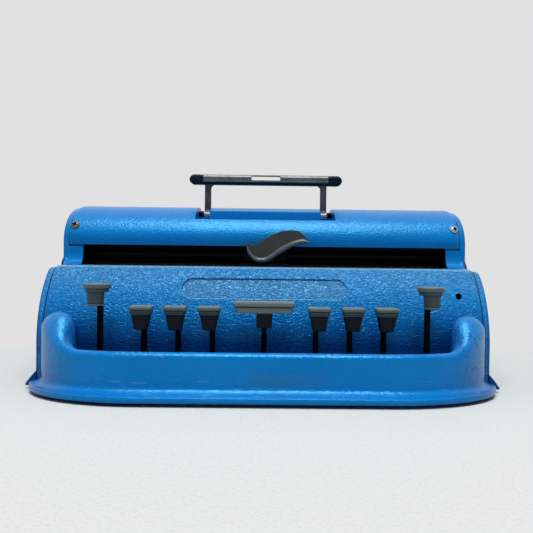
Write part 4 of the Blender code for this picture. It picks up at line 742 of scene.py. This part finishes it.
# %% [markdown]
# ## The end panels
# Each end panel is a thick plate with the whole side profile of the machine. Its bottom edge flares out into a
# skirt, and a cheek fills the end of the paper slot and takes the screw of the cover. The outline is one line of
# arcs. It is pulled across in rings that sink towards the outside, which rounds the outer edge, and the skirt and the
# cheek are joined to it. The holes for the two shafts go through the plate.

# %% The profile and the screw's place
COVER_CENTRE = (64.5, 117.5)
COVER_RADII = (51, 34)
END_SINK = 1.8
CASE_BOTTOM = 7.3
FEED_AXIS = (72, 89.5)
RELEASE_AXIS = (72, 113)


def span(side, near, far):
    """Two distances from the middle of the machine, on one side of it, from low to high."""
    return sorted((side * near, side * far))


def cover_curve(inset):
    front = arc(COVER_CENTRE, (COVER_RADII[0] - inset, COVER_RADII[1] - inset), 180, 90, 40)
    return front + arc((96, 134.7), (16.8 - inset, 16.8 - inset), 90, 0, 16)


def screw_seat(side):
    """Where a cover screw stands: its origin on the cover's face, with Z square to that face."""
    (y, z), (depth, rise) = COVER_CENTRE, COVER_RADII
    turn = math.radians(156)
    point = Vector((side * 168.5, y + depth * math.cos(turn), z + rise * math.sin(turn)))
    normal = Vector((0, math.cos(turn) / depth, math.sin(turn) / rise)).normalized()
    return Matrix.Translation((point + normal * 0.3) * MM) @ normal.to_track_quat("Z", "Y").to_matrix().to_4x4()


def screw_bore(side):
    tool = pull("screw_bore", [lay(round_outline((0, 0), 2, 24), "Z", z) for z in (-9.6, 6)])
    tool.data.transform(screw_seat(side))
    return tool


# %% Both end panels
def side_outline(sunk):
    line = [(-52.7 + sunk, CASE_BOTTOM)] + panel_curve(END_SINK + sunk, 8.3)
    line += arc((8.3, 101.7), (7 + sunk, 7 + sunk), -90, 0, 8)[1:]
    return line + cover_curve(END_SINK + sunk) + [(111 - sunk, CASE_BOTTOM)]


def end_panel(side, name):
    rings = [lay(side_outline(0), "X", side * 173.1)]
    for turn in range(0, 91, 15):
        sunk = 2.6 * (1 - math.cos(math.radians(turn)))
        rings.append(lay(side_outline(sunk), "X", side * (175.1 + 3.4 * math.sin(math.radians(turn)))))
    piece = pull(name + "_shape", rings)
    edge = ((177.7, 14.3), (178.6, 13.4), (182.4, 9), (186, 4.1), (186, 2.7), (181.8, 2.7),
            (181.8, CASE_BOTTOM), (177.7, CASE_BOTTOM))
    join(piece, plate("skirt", [(side * x, z) for x, z in edge], "Y", -52.7, 105.8))
    front, hidden = arc((4.3, 109), (10, 12.2), -90, 0, 14), arc(COVER_CENTRE, (46.7, 30.5), 180, 131.6, 16)
    cheek = front + [(14.3, 112.8), (17.8, 112.9)] + hidden + [(33.5, 96.8)]
    join(piece, plate("cheek", cheek, "X", *span(side, 160.2, 175.3)))
    holes = [bar("shaft_hole", "X", axis, 3.4, *span(side, 170, 182), 0) for axis in (FEED_AXIS, RELEASE_AXIS)]
    cut(piece, *holes, screw_bore(side))
    soften(piece, 1.1, 3)
    shade(piece)
    return hand_over(piece, "housing", "blue_paint", end_blue, name)


# Faces of the end panels that look towards the middle of the machine take painted shade.
for side, name in ((-1, "left_end_panel"), (1, "right_end_panel")):
    line_with(end_panel(side, name), inside_shade, lambda middle, normal: normal.x * middle.x < -90)

# %% [markdown]
# ## The top cover
# The cover is a shell over the crest of the machine. Its block is hollowed, but the hollow leaves a wall round the
# handle's recess: the same four boxes are cut from the hollow, grown by the sheet's thickness, before the hollow is
# cut from the block. In front the recess is a ledge, in the middle stands an island between the two legs, and behind
# it is a trough that takes the grip when the handle lies down.

# %% The cover's shell
PIN_AXIS = (60, 144.8)
PIN_BORE = 1.9


def recess_boxes(grow):
    top = 157.5 + grow
    notch, island, trough = 63.3 + grow, 51.2 - grow, 74.5 + grow
    return [
        block("ledge", (-notch, 7, 138.5 - grow), (notch, 38.5 + grow, top)),
        block("left_slot", (-notch, 37.7, 138.5 - grow), (-island, 84.4 - grow, top)),
        block("right_slot", (island, 37.7, 138.5 - grow), (notch, 84.4 - grow, top)),
        block("trough", (-trough, 83.6 - grow, 136.3 - grow), (trough, 100.2 + grow, top)),
    ]


def cover_outline(sunk):
    line = [(13.5 + sunk, 114.5)] + cover_curve(sunk)
    return line + [(112.8 - sunk, 126.5), (COVER_CENTRE[0], 126.5), (COVER_CENTRE[0], 114.5)]


def hollow_outline(sunk):
    back = back_of(sunk)
    return [(13.5 + back, 108.5)] + cover_curve(back) + [(112.8 - back, 108.5)]


cover = pull("top_cover_shape", rolled_ends(cover_outline, 2.2))
hollow_rings = rolled_ends(hollow_outline, 2.2)
past_end = [(181, y, z) for x, y, z in hollow_rings[0]]
hollow = pull("hollow", [past_end] + hollow_rings + mirror([past_end]))
cut(hollow, *recess_boxes(SHEET_THICKNESS))
cut(cover, *recess_boxes(0))
cut(cover, hollow)
for side in (-1, 1):
    cut(cover, bar("pin_bore", "X", PIN_AXIS, PIN_BORE, *span(side, 61.1, 69.3), 0), screw_bore(side))
soften(cover, 0.5, 2)
hand_over(shade(cover), "housing", "blue_paint", smooth, "top_cover")


def under_cover(middle, normal):
    """Faces of the shell's inside: in a smaller ellipse in front, looking forwards behind, or looking down."""
    y, z = COVER_CENTRE
    ellipse = math.hypot((middle.y - y) / 49.6, (max(middle.z, z) - z) / 32.6)
    front = middle.y < y and ellipse < 1 and middle.z < 135.5
    rear = normal.y < -0.5 and middle.y > 108
    return front or rear or (normal.z < -0.5 and middle.z > 128)


# The inside of the shell takes painted shade.
line_with(cover, inside_shade, under_cover)

# %% [markdown]
# ## Screws and the rear panel
# Two cross-head screws hold the cover. A screw is turned in one pull, from its tip over the shank to the domed head.
# The cross is cut with two small blocks and a round socket between them, and its faces are painted near black as
# painted shade. The left screw has rusted. The rear panel is a flat sheet with a long round-ended slot for the tabs of
# the margin stops, and its inner face is painted near black as painted shade.

# %% Cover screws
for side, name, finish in ((-1, "cover_screw_left", rusty_steel), (1, "cover_screw_right", bright_steel)):
    profile = [(0.8, -9), (1.7, -8), (1.7, 0), (3.6, 0)] + arc((0, 0.25), (3.6, 1.55), 0, 84, 7) + [(0.4, 1.8)]
    screw = pull(name + "_shape", [lay(round_outline((0, 0), r, 32), "Z", z) for r, z in profile])
    arms = [block("cross", (-x, -y, 0.4), (x, y, 3)) for x, y in ((2.3, 0.7), (0.7, 2.3))]
    cut(screw, *arms, plate("socket", round_outline((0, 0), 1.35, 16), "Z", 0.35, 3))
    seat = screw_seat(side) @ Matrix.Rotation(side * 0.3, 4, "Z")
    screw.data.transform(seat)
    hand_over(shade(screw), "housing", "bare_steel", finish, name)
    unseat = seat.inverted()
    line_with(screw, inside_shade, lambda middle, normal: (unseat @ (middle * MM)).xy.length < 2.35 * MM
              and 0.3 * MM < (unseat @ (middle * MM)).z < 1.2 * MM)

# %% Rear panel
sheet = [(-174.2, CASE_BOTTOM), (174.2, CASE_BOTTOM), (174.2, 126.2), (-174.2, 126.2)]
rear = plate("rear_panel_shape", sheet, "Y", 110.6, 112.8)
cut(rear, plate("rear_slot", stadium(146, 102.5, 6.5), "Y", 105, 118))
soften(rear, 0.5, 2)
hand_over(shade(rear), "housing", "blue_paint", smooth, "rear_panel")
line_with(rear, inside_shade, lambda middle, normal: normal.y < -0.9)

# %% [markdown]
# ## The carrying handle
# The frame is one bent bar: two legs, with a fillet where each meets the strap, and a round boss at each foot that
# turns on a pin. The grip is a moulded bar with round ends, and a steel sleeve wraps all but its ends and its
# underside. A window is cut through both. The grip is pulled along its length, so its ends close like a capsule.

# %% Frame and pins
legs = arc((-47.8, 169.2), (4, 4), 180, 90, 10) + arc((47.8, 169.2), (4, 4), 90, 0, 10)
outline = [(-51.8, PIN_AXIS[1])] + legs + [(51.8, PIN_AXIS[1]), (57.8, PIN_AXIS[1]), (57.8, 177.2)]
outline += [(-57.8, 177.2), (-57.8, PIN_AXIS[1])]
handle = plate("handle_frame_shape", outline, "Y", 57, 63)
soften(handle, 1.7, 4)
for side in (-1, 1):
    join(handle, bar("boss", "X", PIN_AXIS, 3.6, *span(side, 51.8, 58.6), 0.7))
    cut(handle, bar("bore", "X", PIN_AXIS, PIN_BORE, *span(side, 48, 62), 0))
hand_over(shade(handle), "handle", "bare_steel", frame_steel, "handle_frame")
for side, name in ((-1, "handle_pin_left"), (1, "handle_pin_right")):
    pin = bar(name + "_shape", "X", PIN_AXIS, 1.6, *span(side, 51.8, 67.5), 0.3)
    join(pin, bar("collar", "X", PIN_AXIS, 2.6, *span(side, 58.9, 63), 0.4))
    hand_over(shade(pin), "housing", "black_steel", black_steel, name)

# %% Grip and sleeve
def rounded_section(x, depth, low, high, corner):
    """A rounded rectangle across the X axis."""
    arcs = corner_arcs((PIN_AXIS[0], (low + high) / 2), depth, high - low, corner)
    return lay(sum(arcs, []), "X", x)


CAP_START, CAP_RADIUS = 67.4, 4.75
stations = [CAP_START + CAP_RADIUS * math.sin(math.radians(a)) for a in range(84, -1, -12)]
rings = []
for x in stations:
    half = math.sqrt(CAP_RADIUS ** 2 - (x - CAP_START) ** 2)
    depth = 11.6 - 0.5 * (CAP_RADIUS - half)
    rings.append(rounded_section(-x, depth, 177.95 - half, 177.95 + half, min(3, half * 0.8)))
rings += [rounded_section(-59, 11.6, 173.2, 182.5, 3), rounded_section(-58.9, 10.8, 173.2, 182, 2.8)]
grip = pull("handle_grip_bar", rings + mirror(reversed(rings)))
shade(grip, 50)
sleeve = pull("handle_grip_sleeve", [rounded_section(x, 12, 174.2, 182.7, 3.4) for x in (-59, 59)])
for piece in (grip, sleeve):
    window = block("window", (-13.8, 50, 177.5), (13.8, 70, 182))
    cut(piece, soften(window, 1.2, 3))
soften(sleeve, 0.35, 2, 50)
shade(sleeve, 50)
hand_over(grip, "handle", "navy_plastic", grip_plastic, "handle_grip")
hand_over(sleeve, "handle", "navy_plastic", sleeve_steel, "handle_grip")

# %% [markdown]
# ## Keys
# Each key is a flat blacked lever that turns on a shaft at the back, and a moulded cap. The caps are pulled upwards
# through rounded rings: a ribbed body that widens, a step, a rim, and a shallow dish for the finger. The ribs are
# small waves in the radius of the body's rings. One dot cap is modelled and repeated five times.

# %% A cap's rings
CAP_Y = -70.5


def cap_ring(x, z, width, depth, corner, rib=0.0):
    """A rounded rectangle of closely set points. A rib pulls in two points of every four by its share."""
    arcs = corner_arcs((x, CAP_Y), width, depth, corner)
    points = []
    for i, corner_points in enumerate(arcs):
        (a, b), (c, d) = corner_points[-1], arcs[(i + 1) % 4][0]
        points += corner_points + [(a + (c - a) * step / 12, b + (d - b) * step / 12) for step in range(1, 12)]
    ring = []
    for number, (u, v) in enumerate(points):
        shrink = 1 - rib * (number % 4 < 2)
        ring.append((x + (u - x) * shrink, CAP_Y + (v - CAP_Y) * shrink, z))
    return ring


def shaped_cap(name, x, bottom, height, width, depth, levels, dish):
    rings = []
    for level, across, along, rib in levels:
        corner = 2.4 * min(across, along) + 0.2
        rings.append(cap_ring(x, bottom + level * height, across * width, along * depth, corner, rib))
    for inset, drop in dish:
        rings.append(cap_ring(x, bottom + height - drop, width - inset, depth - inset, 2.2))
    return shade(pull(name, rings), 50)


DOT_LEVELS = ((0, 0.54, 0.58, 0), (0.02, 0.57, 0.61, 0), (0.05, 0.575, 0.62, 0.07), (0.6, 0.79, 0.79, 0.07),
              (0.64, 0.80, 0.80, 0), (0.665, 0.89, 0.89, 0), (0.69, 0.91, 0.91, 0), (0.79, 0.92, 0.92, 0),
              (0.81, 0.89, 0.90, 0), (0.835, 0.89, 0.90, 0), (0.85, 0.99, 0.99, 0), (0.87, 1, 1, 0),
              (0.94, 1, 1, 0), (0.98, 0.98, 0.98, 0), (1, 0.95, 0.95, 0))
SPACE_LEVELS = ((0, 0.24, 0.62, 0), (0.02, 0.25, 0.66, 0), (0.04, 0.25, 0.66, 0.07), (0.52, 0.262, 0.69, 0.07),
                (0.56, 0.27, 0.70, 0), (0.58, 0.90, 0.80, 0), (0.61, 0.93, 0.84, 0), (0.77, 0.94, 0.88, 0),
                (0.79, 0.925, 0.85, 0), (0.81, 0.925, 0.85, 0), (0.83, 0.985, 0.97, 0), (0.86, 1, 1, 0),
                (0.94, 1, 1, 0), (0.98, 0.985, 0.98, 0), (1, 0.97, 0.95, 0))

# %% Dot caps and the space bar
DOT_1_X = -41.4
first_cap = shaped_cap("key_cap_dot_1_shape", DOT_1_X, 49.4, 17.7, 17.2, 16.5, DOT_LEVELS,
                       ((2.4, 0.1), (3.6, 0.5), (7, 0.9)))
dot_caps = {"dot_1": first_cap}
for key, x in (("dot_2", -67.1), ("dot_3", -92.8), ("dot_4", 41.4), ("dot_5", 67.1), ("dot_6", 92.8)):
    dot_caps[key] = repeat(first_cap, f"key_cap_{key}_shape", (x - DOT_1_X, 0, 0))
for key, cap in dot_caps.items():
    hand_over(cap, key + "_key", "key_plastic", dot_plastic, "key_cap_" + key)
space_cap = shaped_cap("key_cap_space_shape", 0, 51.7, 19.5, 46, 16.5, SPACE_LEVELS,
                       ((2, 0.1), (3.2, 0.5), (6, 0.8)))
hand_over(space_cap, "space_key", "key_plastic", space_plastic, "key_cap_space")

# %% [markdown]
# ## End keys and levers
# The two end keys, line space and backspace, stand taller and have round caps with a thin wide rim. They are turned:
# every ring is a circle, so pulling a circle through the profile does the same as a lathe. Below the rim the body sits
# a little further out, and the right cap is the left one mirrored. The levers under all the caps are softened copies.

# %% End caps
END_PROFILE = ((5.4, 0), (6.1, 0.3), (6.5, 0.6), (6.5, 1.5), (6.1, 1.9), (6.4, 9.6), (6.7, 10.2), (8.4, 10.6),
               (8.7, 11), (8.7, 12.9), (8.9, 13.1), (9.9, 13.2), (10.2, 13.6), (10.2, 16), (9.9, 16.7),
               (9.3, 17), (8.2, 16.9), (7.6, 16.5), (5, 16.1), (2, 16))
END_X, END_BOTTOM = -126, 66.7
BODY_SHIFT, BODY_TOP = 1.2, 10.3
end_rings = []
for radius, rise in END_PROFILE:
    centre = (END_X - BODY_SHIFT * (rise < BODY_TOP), CAP_Y)
    end_rings.append(lay(round_outline(centre, radius, 56), "Z", END_BOTTOM + rise))
end_cap = pull("key_cap_line_space_shape", end_rings)
hand_over(shade(end_cap, 50), "line_space_key", "key_plastic", end_plastic, "key_cap_line_space")
right_cap = shade(pull("key_cap_backspace_shape", mirror(end_rings)), 50)
hand_over(right_cap, "backspace_key", "key_plastic", end_plastic, "key_cap_backspace")

# %% Key levers
for key in ("line_space", "dot_3", "dot_2", "dot_1", "space", "dot_4", "dot_5", "dot_6", "backspace"):
    soft_copy("key_lever_" + key, key + "_key", "black_steel", black_steel, 0.5)

# %% [markdown]
# ## The carriage and its hand lever
# The carriage presses the dots. Its lower half lies under the paper and its upper half above it, and a curved finger
# lever in front of the slot moves it along. The lever's outline runs through a few drawn points on a smooth closed
# curve. A raised lip follows its lower edge and its left end. Its rings are pinched together more and more towards the
# front, so that it ends in a rounded ridge.

# %% A smooth closed line
def smooth_line(points, steps):
    """A closed curve that passes through every point."""
    line = []
    count = len(points)
    for i in range(count):
        a, b, c, d = (Vector(points[(i + k) % count]) for k in (-1, 0, 1, 2))
        for k in range(steps):
            t = k / steps
            line.append(tuple(0.5 * (2 * b + (c - a) * t + (2 * a - 5 * b + 4 * c - d) * t * t
                                     + (3 * b - a - 3 * c + d) * t * t * t)))
    return line


LEVER_CORNER = (-16.8, 100.3)
LEVER_SIZE = (56, 28.3)


def lever_points(shares):
    (x, z), (length, height) = LEVER_CORNER, LEVER_SIZE
    return [(x + u * length, z + v * height) for u, v in shares]


UPPER = ((0, 0.63), (0.04, 0.57), (0.10, 0.55), (0.17, 0.58), (0.25, 0.66), (0.34, 0.78), (0.44, 0.87),
         (0.53, 0.95), (0.63, 0.99), (0.72, 1), (0.82, 0.97), (0.89, 0.87), (0.94, 0.76), (1, 0.63))
LOWER = ((0.91, 0.59), (0.82, 0.55), (0.72, 0.48), (0.63, 0.39), (0.53, 0.27), (0.44, 0.14), (0.38, 0.07),
         (0.32, 0.01), (0.25, 0), (0.17, 0.01), (0.11, 0.09), (0.05, 0.22), (0.02, 0.35))
LIP = ((0.045, 0.46), (0.08, 0.32), (0.13, 0.21), (0.19, 0.16), (0.25, 0.15), (0.32, 0.18), (0.39, 0.27),
       (0.49, 0.41), (0.58, 0.53), (0.68, 0.63), (0.77, 0.70), (0.87, 0.74), (0.93, 0.72))

# %% The hand lever
hand_lever = plate("hand_lever_shape", smooth_line(lever_points(UPPER + LOWER), 5), "Y", 4, 8)
soften(hand_lever, 0.9, 3, 40)
lip_line = smooth_line(lever_points((UPPER[0],) + LIP + (UPPER[-1],) + LOWER), 5)
lip_rings = []
for y, pinch in ((5.4, 0), (3.9, 0), (3, 0.06), (2.1, 0.2), (1.4, 0.42), (1, 0.7), (0.9, 0.88)):
    ring = []
    for number, (x, z) in enumerate(lip_line):
        across = lip_line[-number]
        ring.append((x + (across[0] - x) * pinch / 2, y, z + (across[1] - z) * pinch / 2))
    lip_rings.append(ring)
lip = pull("hand_lever_lip", lip_rings)
join(hand_lever, lip, block("hand_lever_arm", (-6.2, 7.2, 102.1), (6.2, 40.2, 107.5)))
cut(hand_lever, bar("arm_bore", "X", (37.5, 104.8), 1.8, -12, 12, 0))
hand_over(shade(hand_lever, 45), "carriage_hand_lever", "grey_plastic", lever_plastic, "hand_lever")

# %% The two heads, the pin and the pawl
for part in (
    ("embossing_head", "carriage", "cast_metal", dull_steel, 0.8),
    ("die_head", "carriage", "cast_metal", shade_darkened_metal, 0.9),
    ("hand_lever_pin", "carriage", "bare_steel", bright_steel, 0.25),
    ("pawl", "carriage_pawl", "bare_steel", dull_steel, 0.4),
):
    soft_copy(*part, 3)

# %% [markdown]
# ## Rails, rollers and the feed knobs
# Rods and rollers are pulled again as true rounds with chamfered ends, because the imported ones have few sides. A knob
# is pulled through scalloped rings, and then its outer face is inset and sunk, as on a real moulding, to leave a rim
# round a flat disc.

# %% Rods and rollers
RAIL_REACH = 165.3
for name, body, slot, finish, centre, radius, reach in (
    ("lower_carriage_rail", "housing", "bare_steel", shade_darkened_steel, (48, 83.5), 4, RAIL_REACH),
    ("upper_carriage_rail", "housing", "bare_steel", shade_darkened_steel, (50, 106.5), 3, RAIL_REACH),
    ("key_pivot_shaft", "housing", "bare_steel", dull_steel, (30, 20.5), 2.5, RAIL_REACH),
    ("feed_shaft", "paper_feed", "bare_steel", bright_steel, FEED_AXIS, 3, 186.8),
):
    rod = shade(bar(name + "_shape", "X", centre, radius, -reach, reach))
    hand_over(rod, body, slot, finish, name)
FEED_BORE = 3.3
roller = bar("feed_roller_shape", "X", FEED_AXIS, 11, -150, 150, 0.8)
cut(roller, bar("roller_bore", "X", FEED_AXIS, FEED_BORE, -160, 160, 0))
hand_over(shade(roller), "paper_feed", "rubber", rubber, "feed_roller")

# %% Feed knobs
LOBES, LOBE_STEPS = 14, 8
SCALLOP_SHARE = 0.045


def knob_ring(x, radius):
    ring = []
    for i in range(LOBES * LOBE_STEPS):
        angle = 2 * math.pi * i / (LOBES * LOBE_STEPS)
        reach = radius * (1 - SCALLOP_SHARE * (0.5 + 0.5 * math.cos(LOBES * angle)) ** 3)
        ring.append((x, FEED_AXIS[0] + reach * math.cos(angle), FEED_AXIS[1] + reach * math.sin(angle)))
    return ring


def sink_face(piece, inset, depth, test):
    """Insets the face that a test picks and pushes it in, both in millimetres."""
    select_only(piece)
    bpy.ops.object.mode_set(mode="EDIT")
    bpy.ops.mesh.select_all(action="DESELECT")
    shape = bmesh.from_edit_mesh(piece.data)
    for face in shape.faces:
        face.select = test(face)
    shape.select_flush_mode()
    bmesh.update_edit_mesh(piece.data)
    bpy.ops.mesh.inset(thickness=inset * MM, depth=0)
    bpy.ops.mesh.inset(thickness=0.5 * MM, depth=-depth * MM)
    bpy.ops.object.mode_set(mode="OBJECT")


for side, name in ((-1, "feed_knob_left"), (1, "feed_knob_right")):
    profile = ((0, 0.93), (0.3, 0.96), (1.4, 1), (12.4, 1), (13.4, 0.975), (14.1, 0.94), (14.4, 0.9))
    knob = pull(name + "_shape", [knob_ring(side * (179.1 + x), 16 * share) for x, share in profile])
    sink_face(knob, 3, 1.2, lambda face: face.normal.x * side > 0.99 and len(face.verts) > 100)
    cut(knob, bar("knob_bore", "X", FEED_AXIS, FEED_BORE, *span(side, 173, 187.1), 0))
    hand_over(shade(knob, 35), "paper_feed", "key_plastic", knob_plastic, name)

# %% [markdown]
# ## Small parts with the right shape already
# The release levers, the racks, the margin stops and the bell are right as packed. Those that are seen get a
# softened copy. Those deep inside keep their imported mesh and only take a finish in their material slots.

# %% Softened copies
for part in (
    ("release_shaft", "paper_release", "bare_steel", shade_darkened_steel, 0.3),
    ("release_lever_left", "paper_release", "key_plastic", knob_plastic, 0.9),
    ("release_lever_right", "paper_release", "key_plastic", knob_plastic, 0.9),
    ("margin_stop_left", "left_margin", "bare_steel", dull_steel, 0.5),
    ("margin_stop_right", "right_margin", "bare_steel", dull_steel, 0.5),
    ("spacing_rack", "housing", "brass", brass, 0.15),
    ("margin_rack", "housing", "bare_steel", dull_steel, 0.4),
    ("left_frame_plate", "housing", "cast_metal", cast_metal, 0.4),
    ("right_frame_plate", "housing", "cast_metal", cast_metal, 0.4),
    ("line_ratchet", "paper_feed", "brass", brass, 0.2),
):
    soft_copy(*part, 2, 35)

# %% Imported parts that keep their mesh
for node, finish in (("key_guide_comb", cast_metal), ("pressure_roller", rubber), ("bell", brass),
                     ("bell_clapper", dull_steel)):
    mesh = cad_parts[node].data
    mesh.materials.clear()
    mesh.materials.append(finish)
    print(node, "keeps its packed mesh")

# %% [markdown]
# ## Table, wall and light
# The machine stands on a pale table in front of a white wall. The floor is one wide plane. Beyond the table's far
# edge its tone changes to that of the wall, and the world has the same tone for the camera, so no hard horizon shows
# from the front. Reflections see the wall too, but the half of the room in front of the machine is dimmer in them,
# which keeps the upright paint deep. Nearly all the light comes from overhead: a soft sun lights the top faces, the
# zenith fills the shadows, and the pale table throws light back up. A long thin softbox hangs above and in front.

# %% The floor
WALL = colour(226, 225, 226)
TABLE = colour(217, 220, 218)
bpy.ops.object.select_all(action="DESELECT")
bpy.ops.mesh.primitive_plane_add(size=12, location=(0, 0, 0))
floor = bpy.context.object
floor.name = "table_top"
table = Finish("table_foam", Metallic=0.0, Specular_IOR_Level=0.2)
beyond = table.y.rise(176, 190)
speck = table.noise(2.2, detail=3)
pores = speck.rise(0.5, 0.62) * (1 - beyond)
tone = table.mix(pores * 0.3, TABLE, colour(196, 202, 201))
floor.data.materials.append(table.coat(tone, 0.7, table.bump(speck * (1 - beyond), 0.6)))
wall_tone = table.add("Emission", {"Color": WALL, "Strength": 1.0})
surface = Signal(table, table.shader.outputs[0])
surface = table.add("MixShader", {0: beyond * table.seen(), 1: surface, 2: wall_tone})
table.feed(table.tree.nodes["Material Output"].inputs["Surface"], surface)

# %% The world
world = bpy.data.worlds.new("studio")
bpy.context.scene.world = world
world.use_nodes = True
world.node_tree.nodes.clear()
studio = Graph(world.node_tree)
way = studio.add("TexCoord", {}, "Generated")
back, up = (studio.add("SeparateXYZ", {0: way}, axis) for axis in "YZ")
sky = studio.add("MapRange", {"Value": up, "From Min": 0.25, "To Min": 0.04, "To Max": 0.75},
                 interpolation_type="SMOOTHSTEP")
fill = studio.add("Background", {"Color": (0.95, 0.98, 1), "Strength": sky})
room = studio.add("MapRange", {"Value": back, "From Min": -0.3, "From Max": 0.2, "To Min": 0.45})
level = studio.larger(room, studio.add("LightPath", {}, "Is Camera Ray"))
wall = studio.add("Background", {"Color": WALL, "Strength": level})
choice = studio.add("MixShader", {0: studio.seen(), 1: fill, 2: wall})
studio.feed(studio.tree.nodes.new("ShaderNodeOutputWorld").inputs["Surface"], choice)
print("world nodes:", len(studio.tree.nodes))

# %% Lamps and camera
bpy.ops.object.light_add(type="SUN", rotation=(math.radians(10), 0, 0))
sun = bpy.context.object
sun.name = "soft_daylight"
sun.data.energy = 1.55
sun.data.angle = math.radians(26)
bpy.ops.object.light_add(type="AREA", location=(0, -0.45, 0.95))
lamp = bpy.context.object
lamp.name = "front_softbox"
lamp.data.shape = "RECTANGLE"
lamp.data.size = 0.6
lamp.data.size_y = 0.08
lamp.data.energy = 2.8
lamp.rotation_euler = (Vector((0, 0, 0.1)) - lamp.location).to_track_quat("-Z", "Y").to_euler()
bpy.ops.object.camera_add()
camera = bpy.context.object
yaw, tilt, roll = (math.radians(angle) for angle in (-0.6936, 89.26, 0.6767))
aim = Matrix.Rotation(yaw, 4, "Z") @ Matrix.Rotation(tilt, 4, "X") @ Matrix.Rotation(roll, 4, "Z")
camera.matrix_world = Matrix.Translation((0.00017, -0.5661, 0.10426)) @ aim
camera.data.lens = 44.31
camera.data.sensor_width = 36
camera.data.shift_x = -0.0122
camera.data.clip_start = 0.01
bpy.context.scene.camera = camera
bpy.context.scene.view_settings.view_transform = "Standard"
print("lamps:", sun.name, lamp.name, "camera at", tuple(round(value, 4) for value in camera.location))
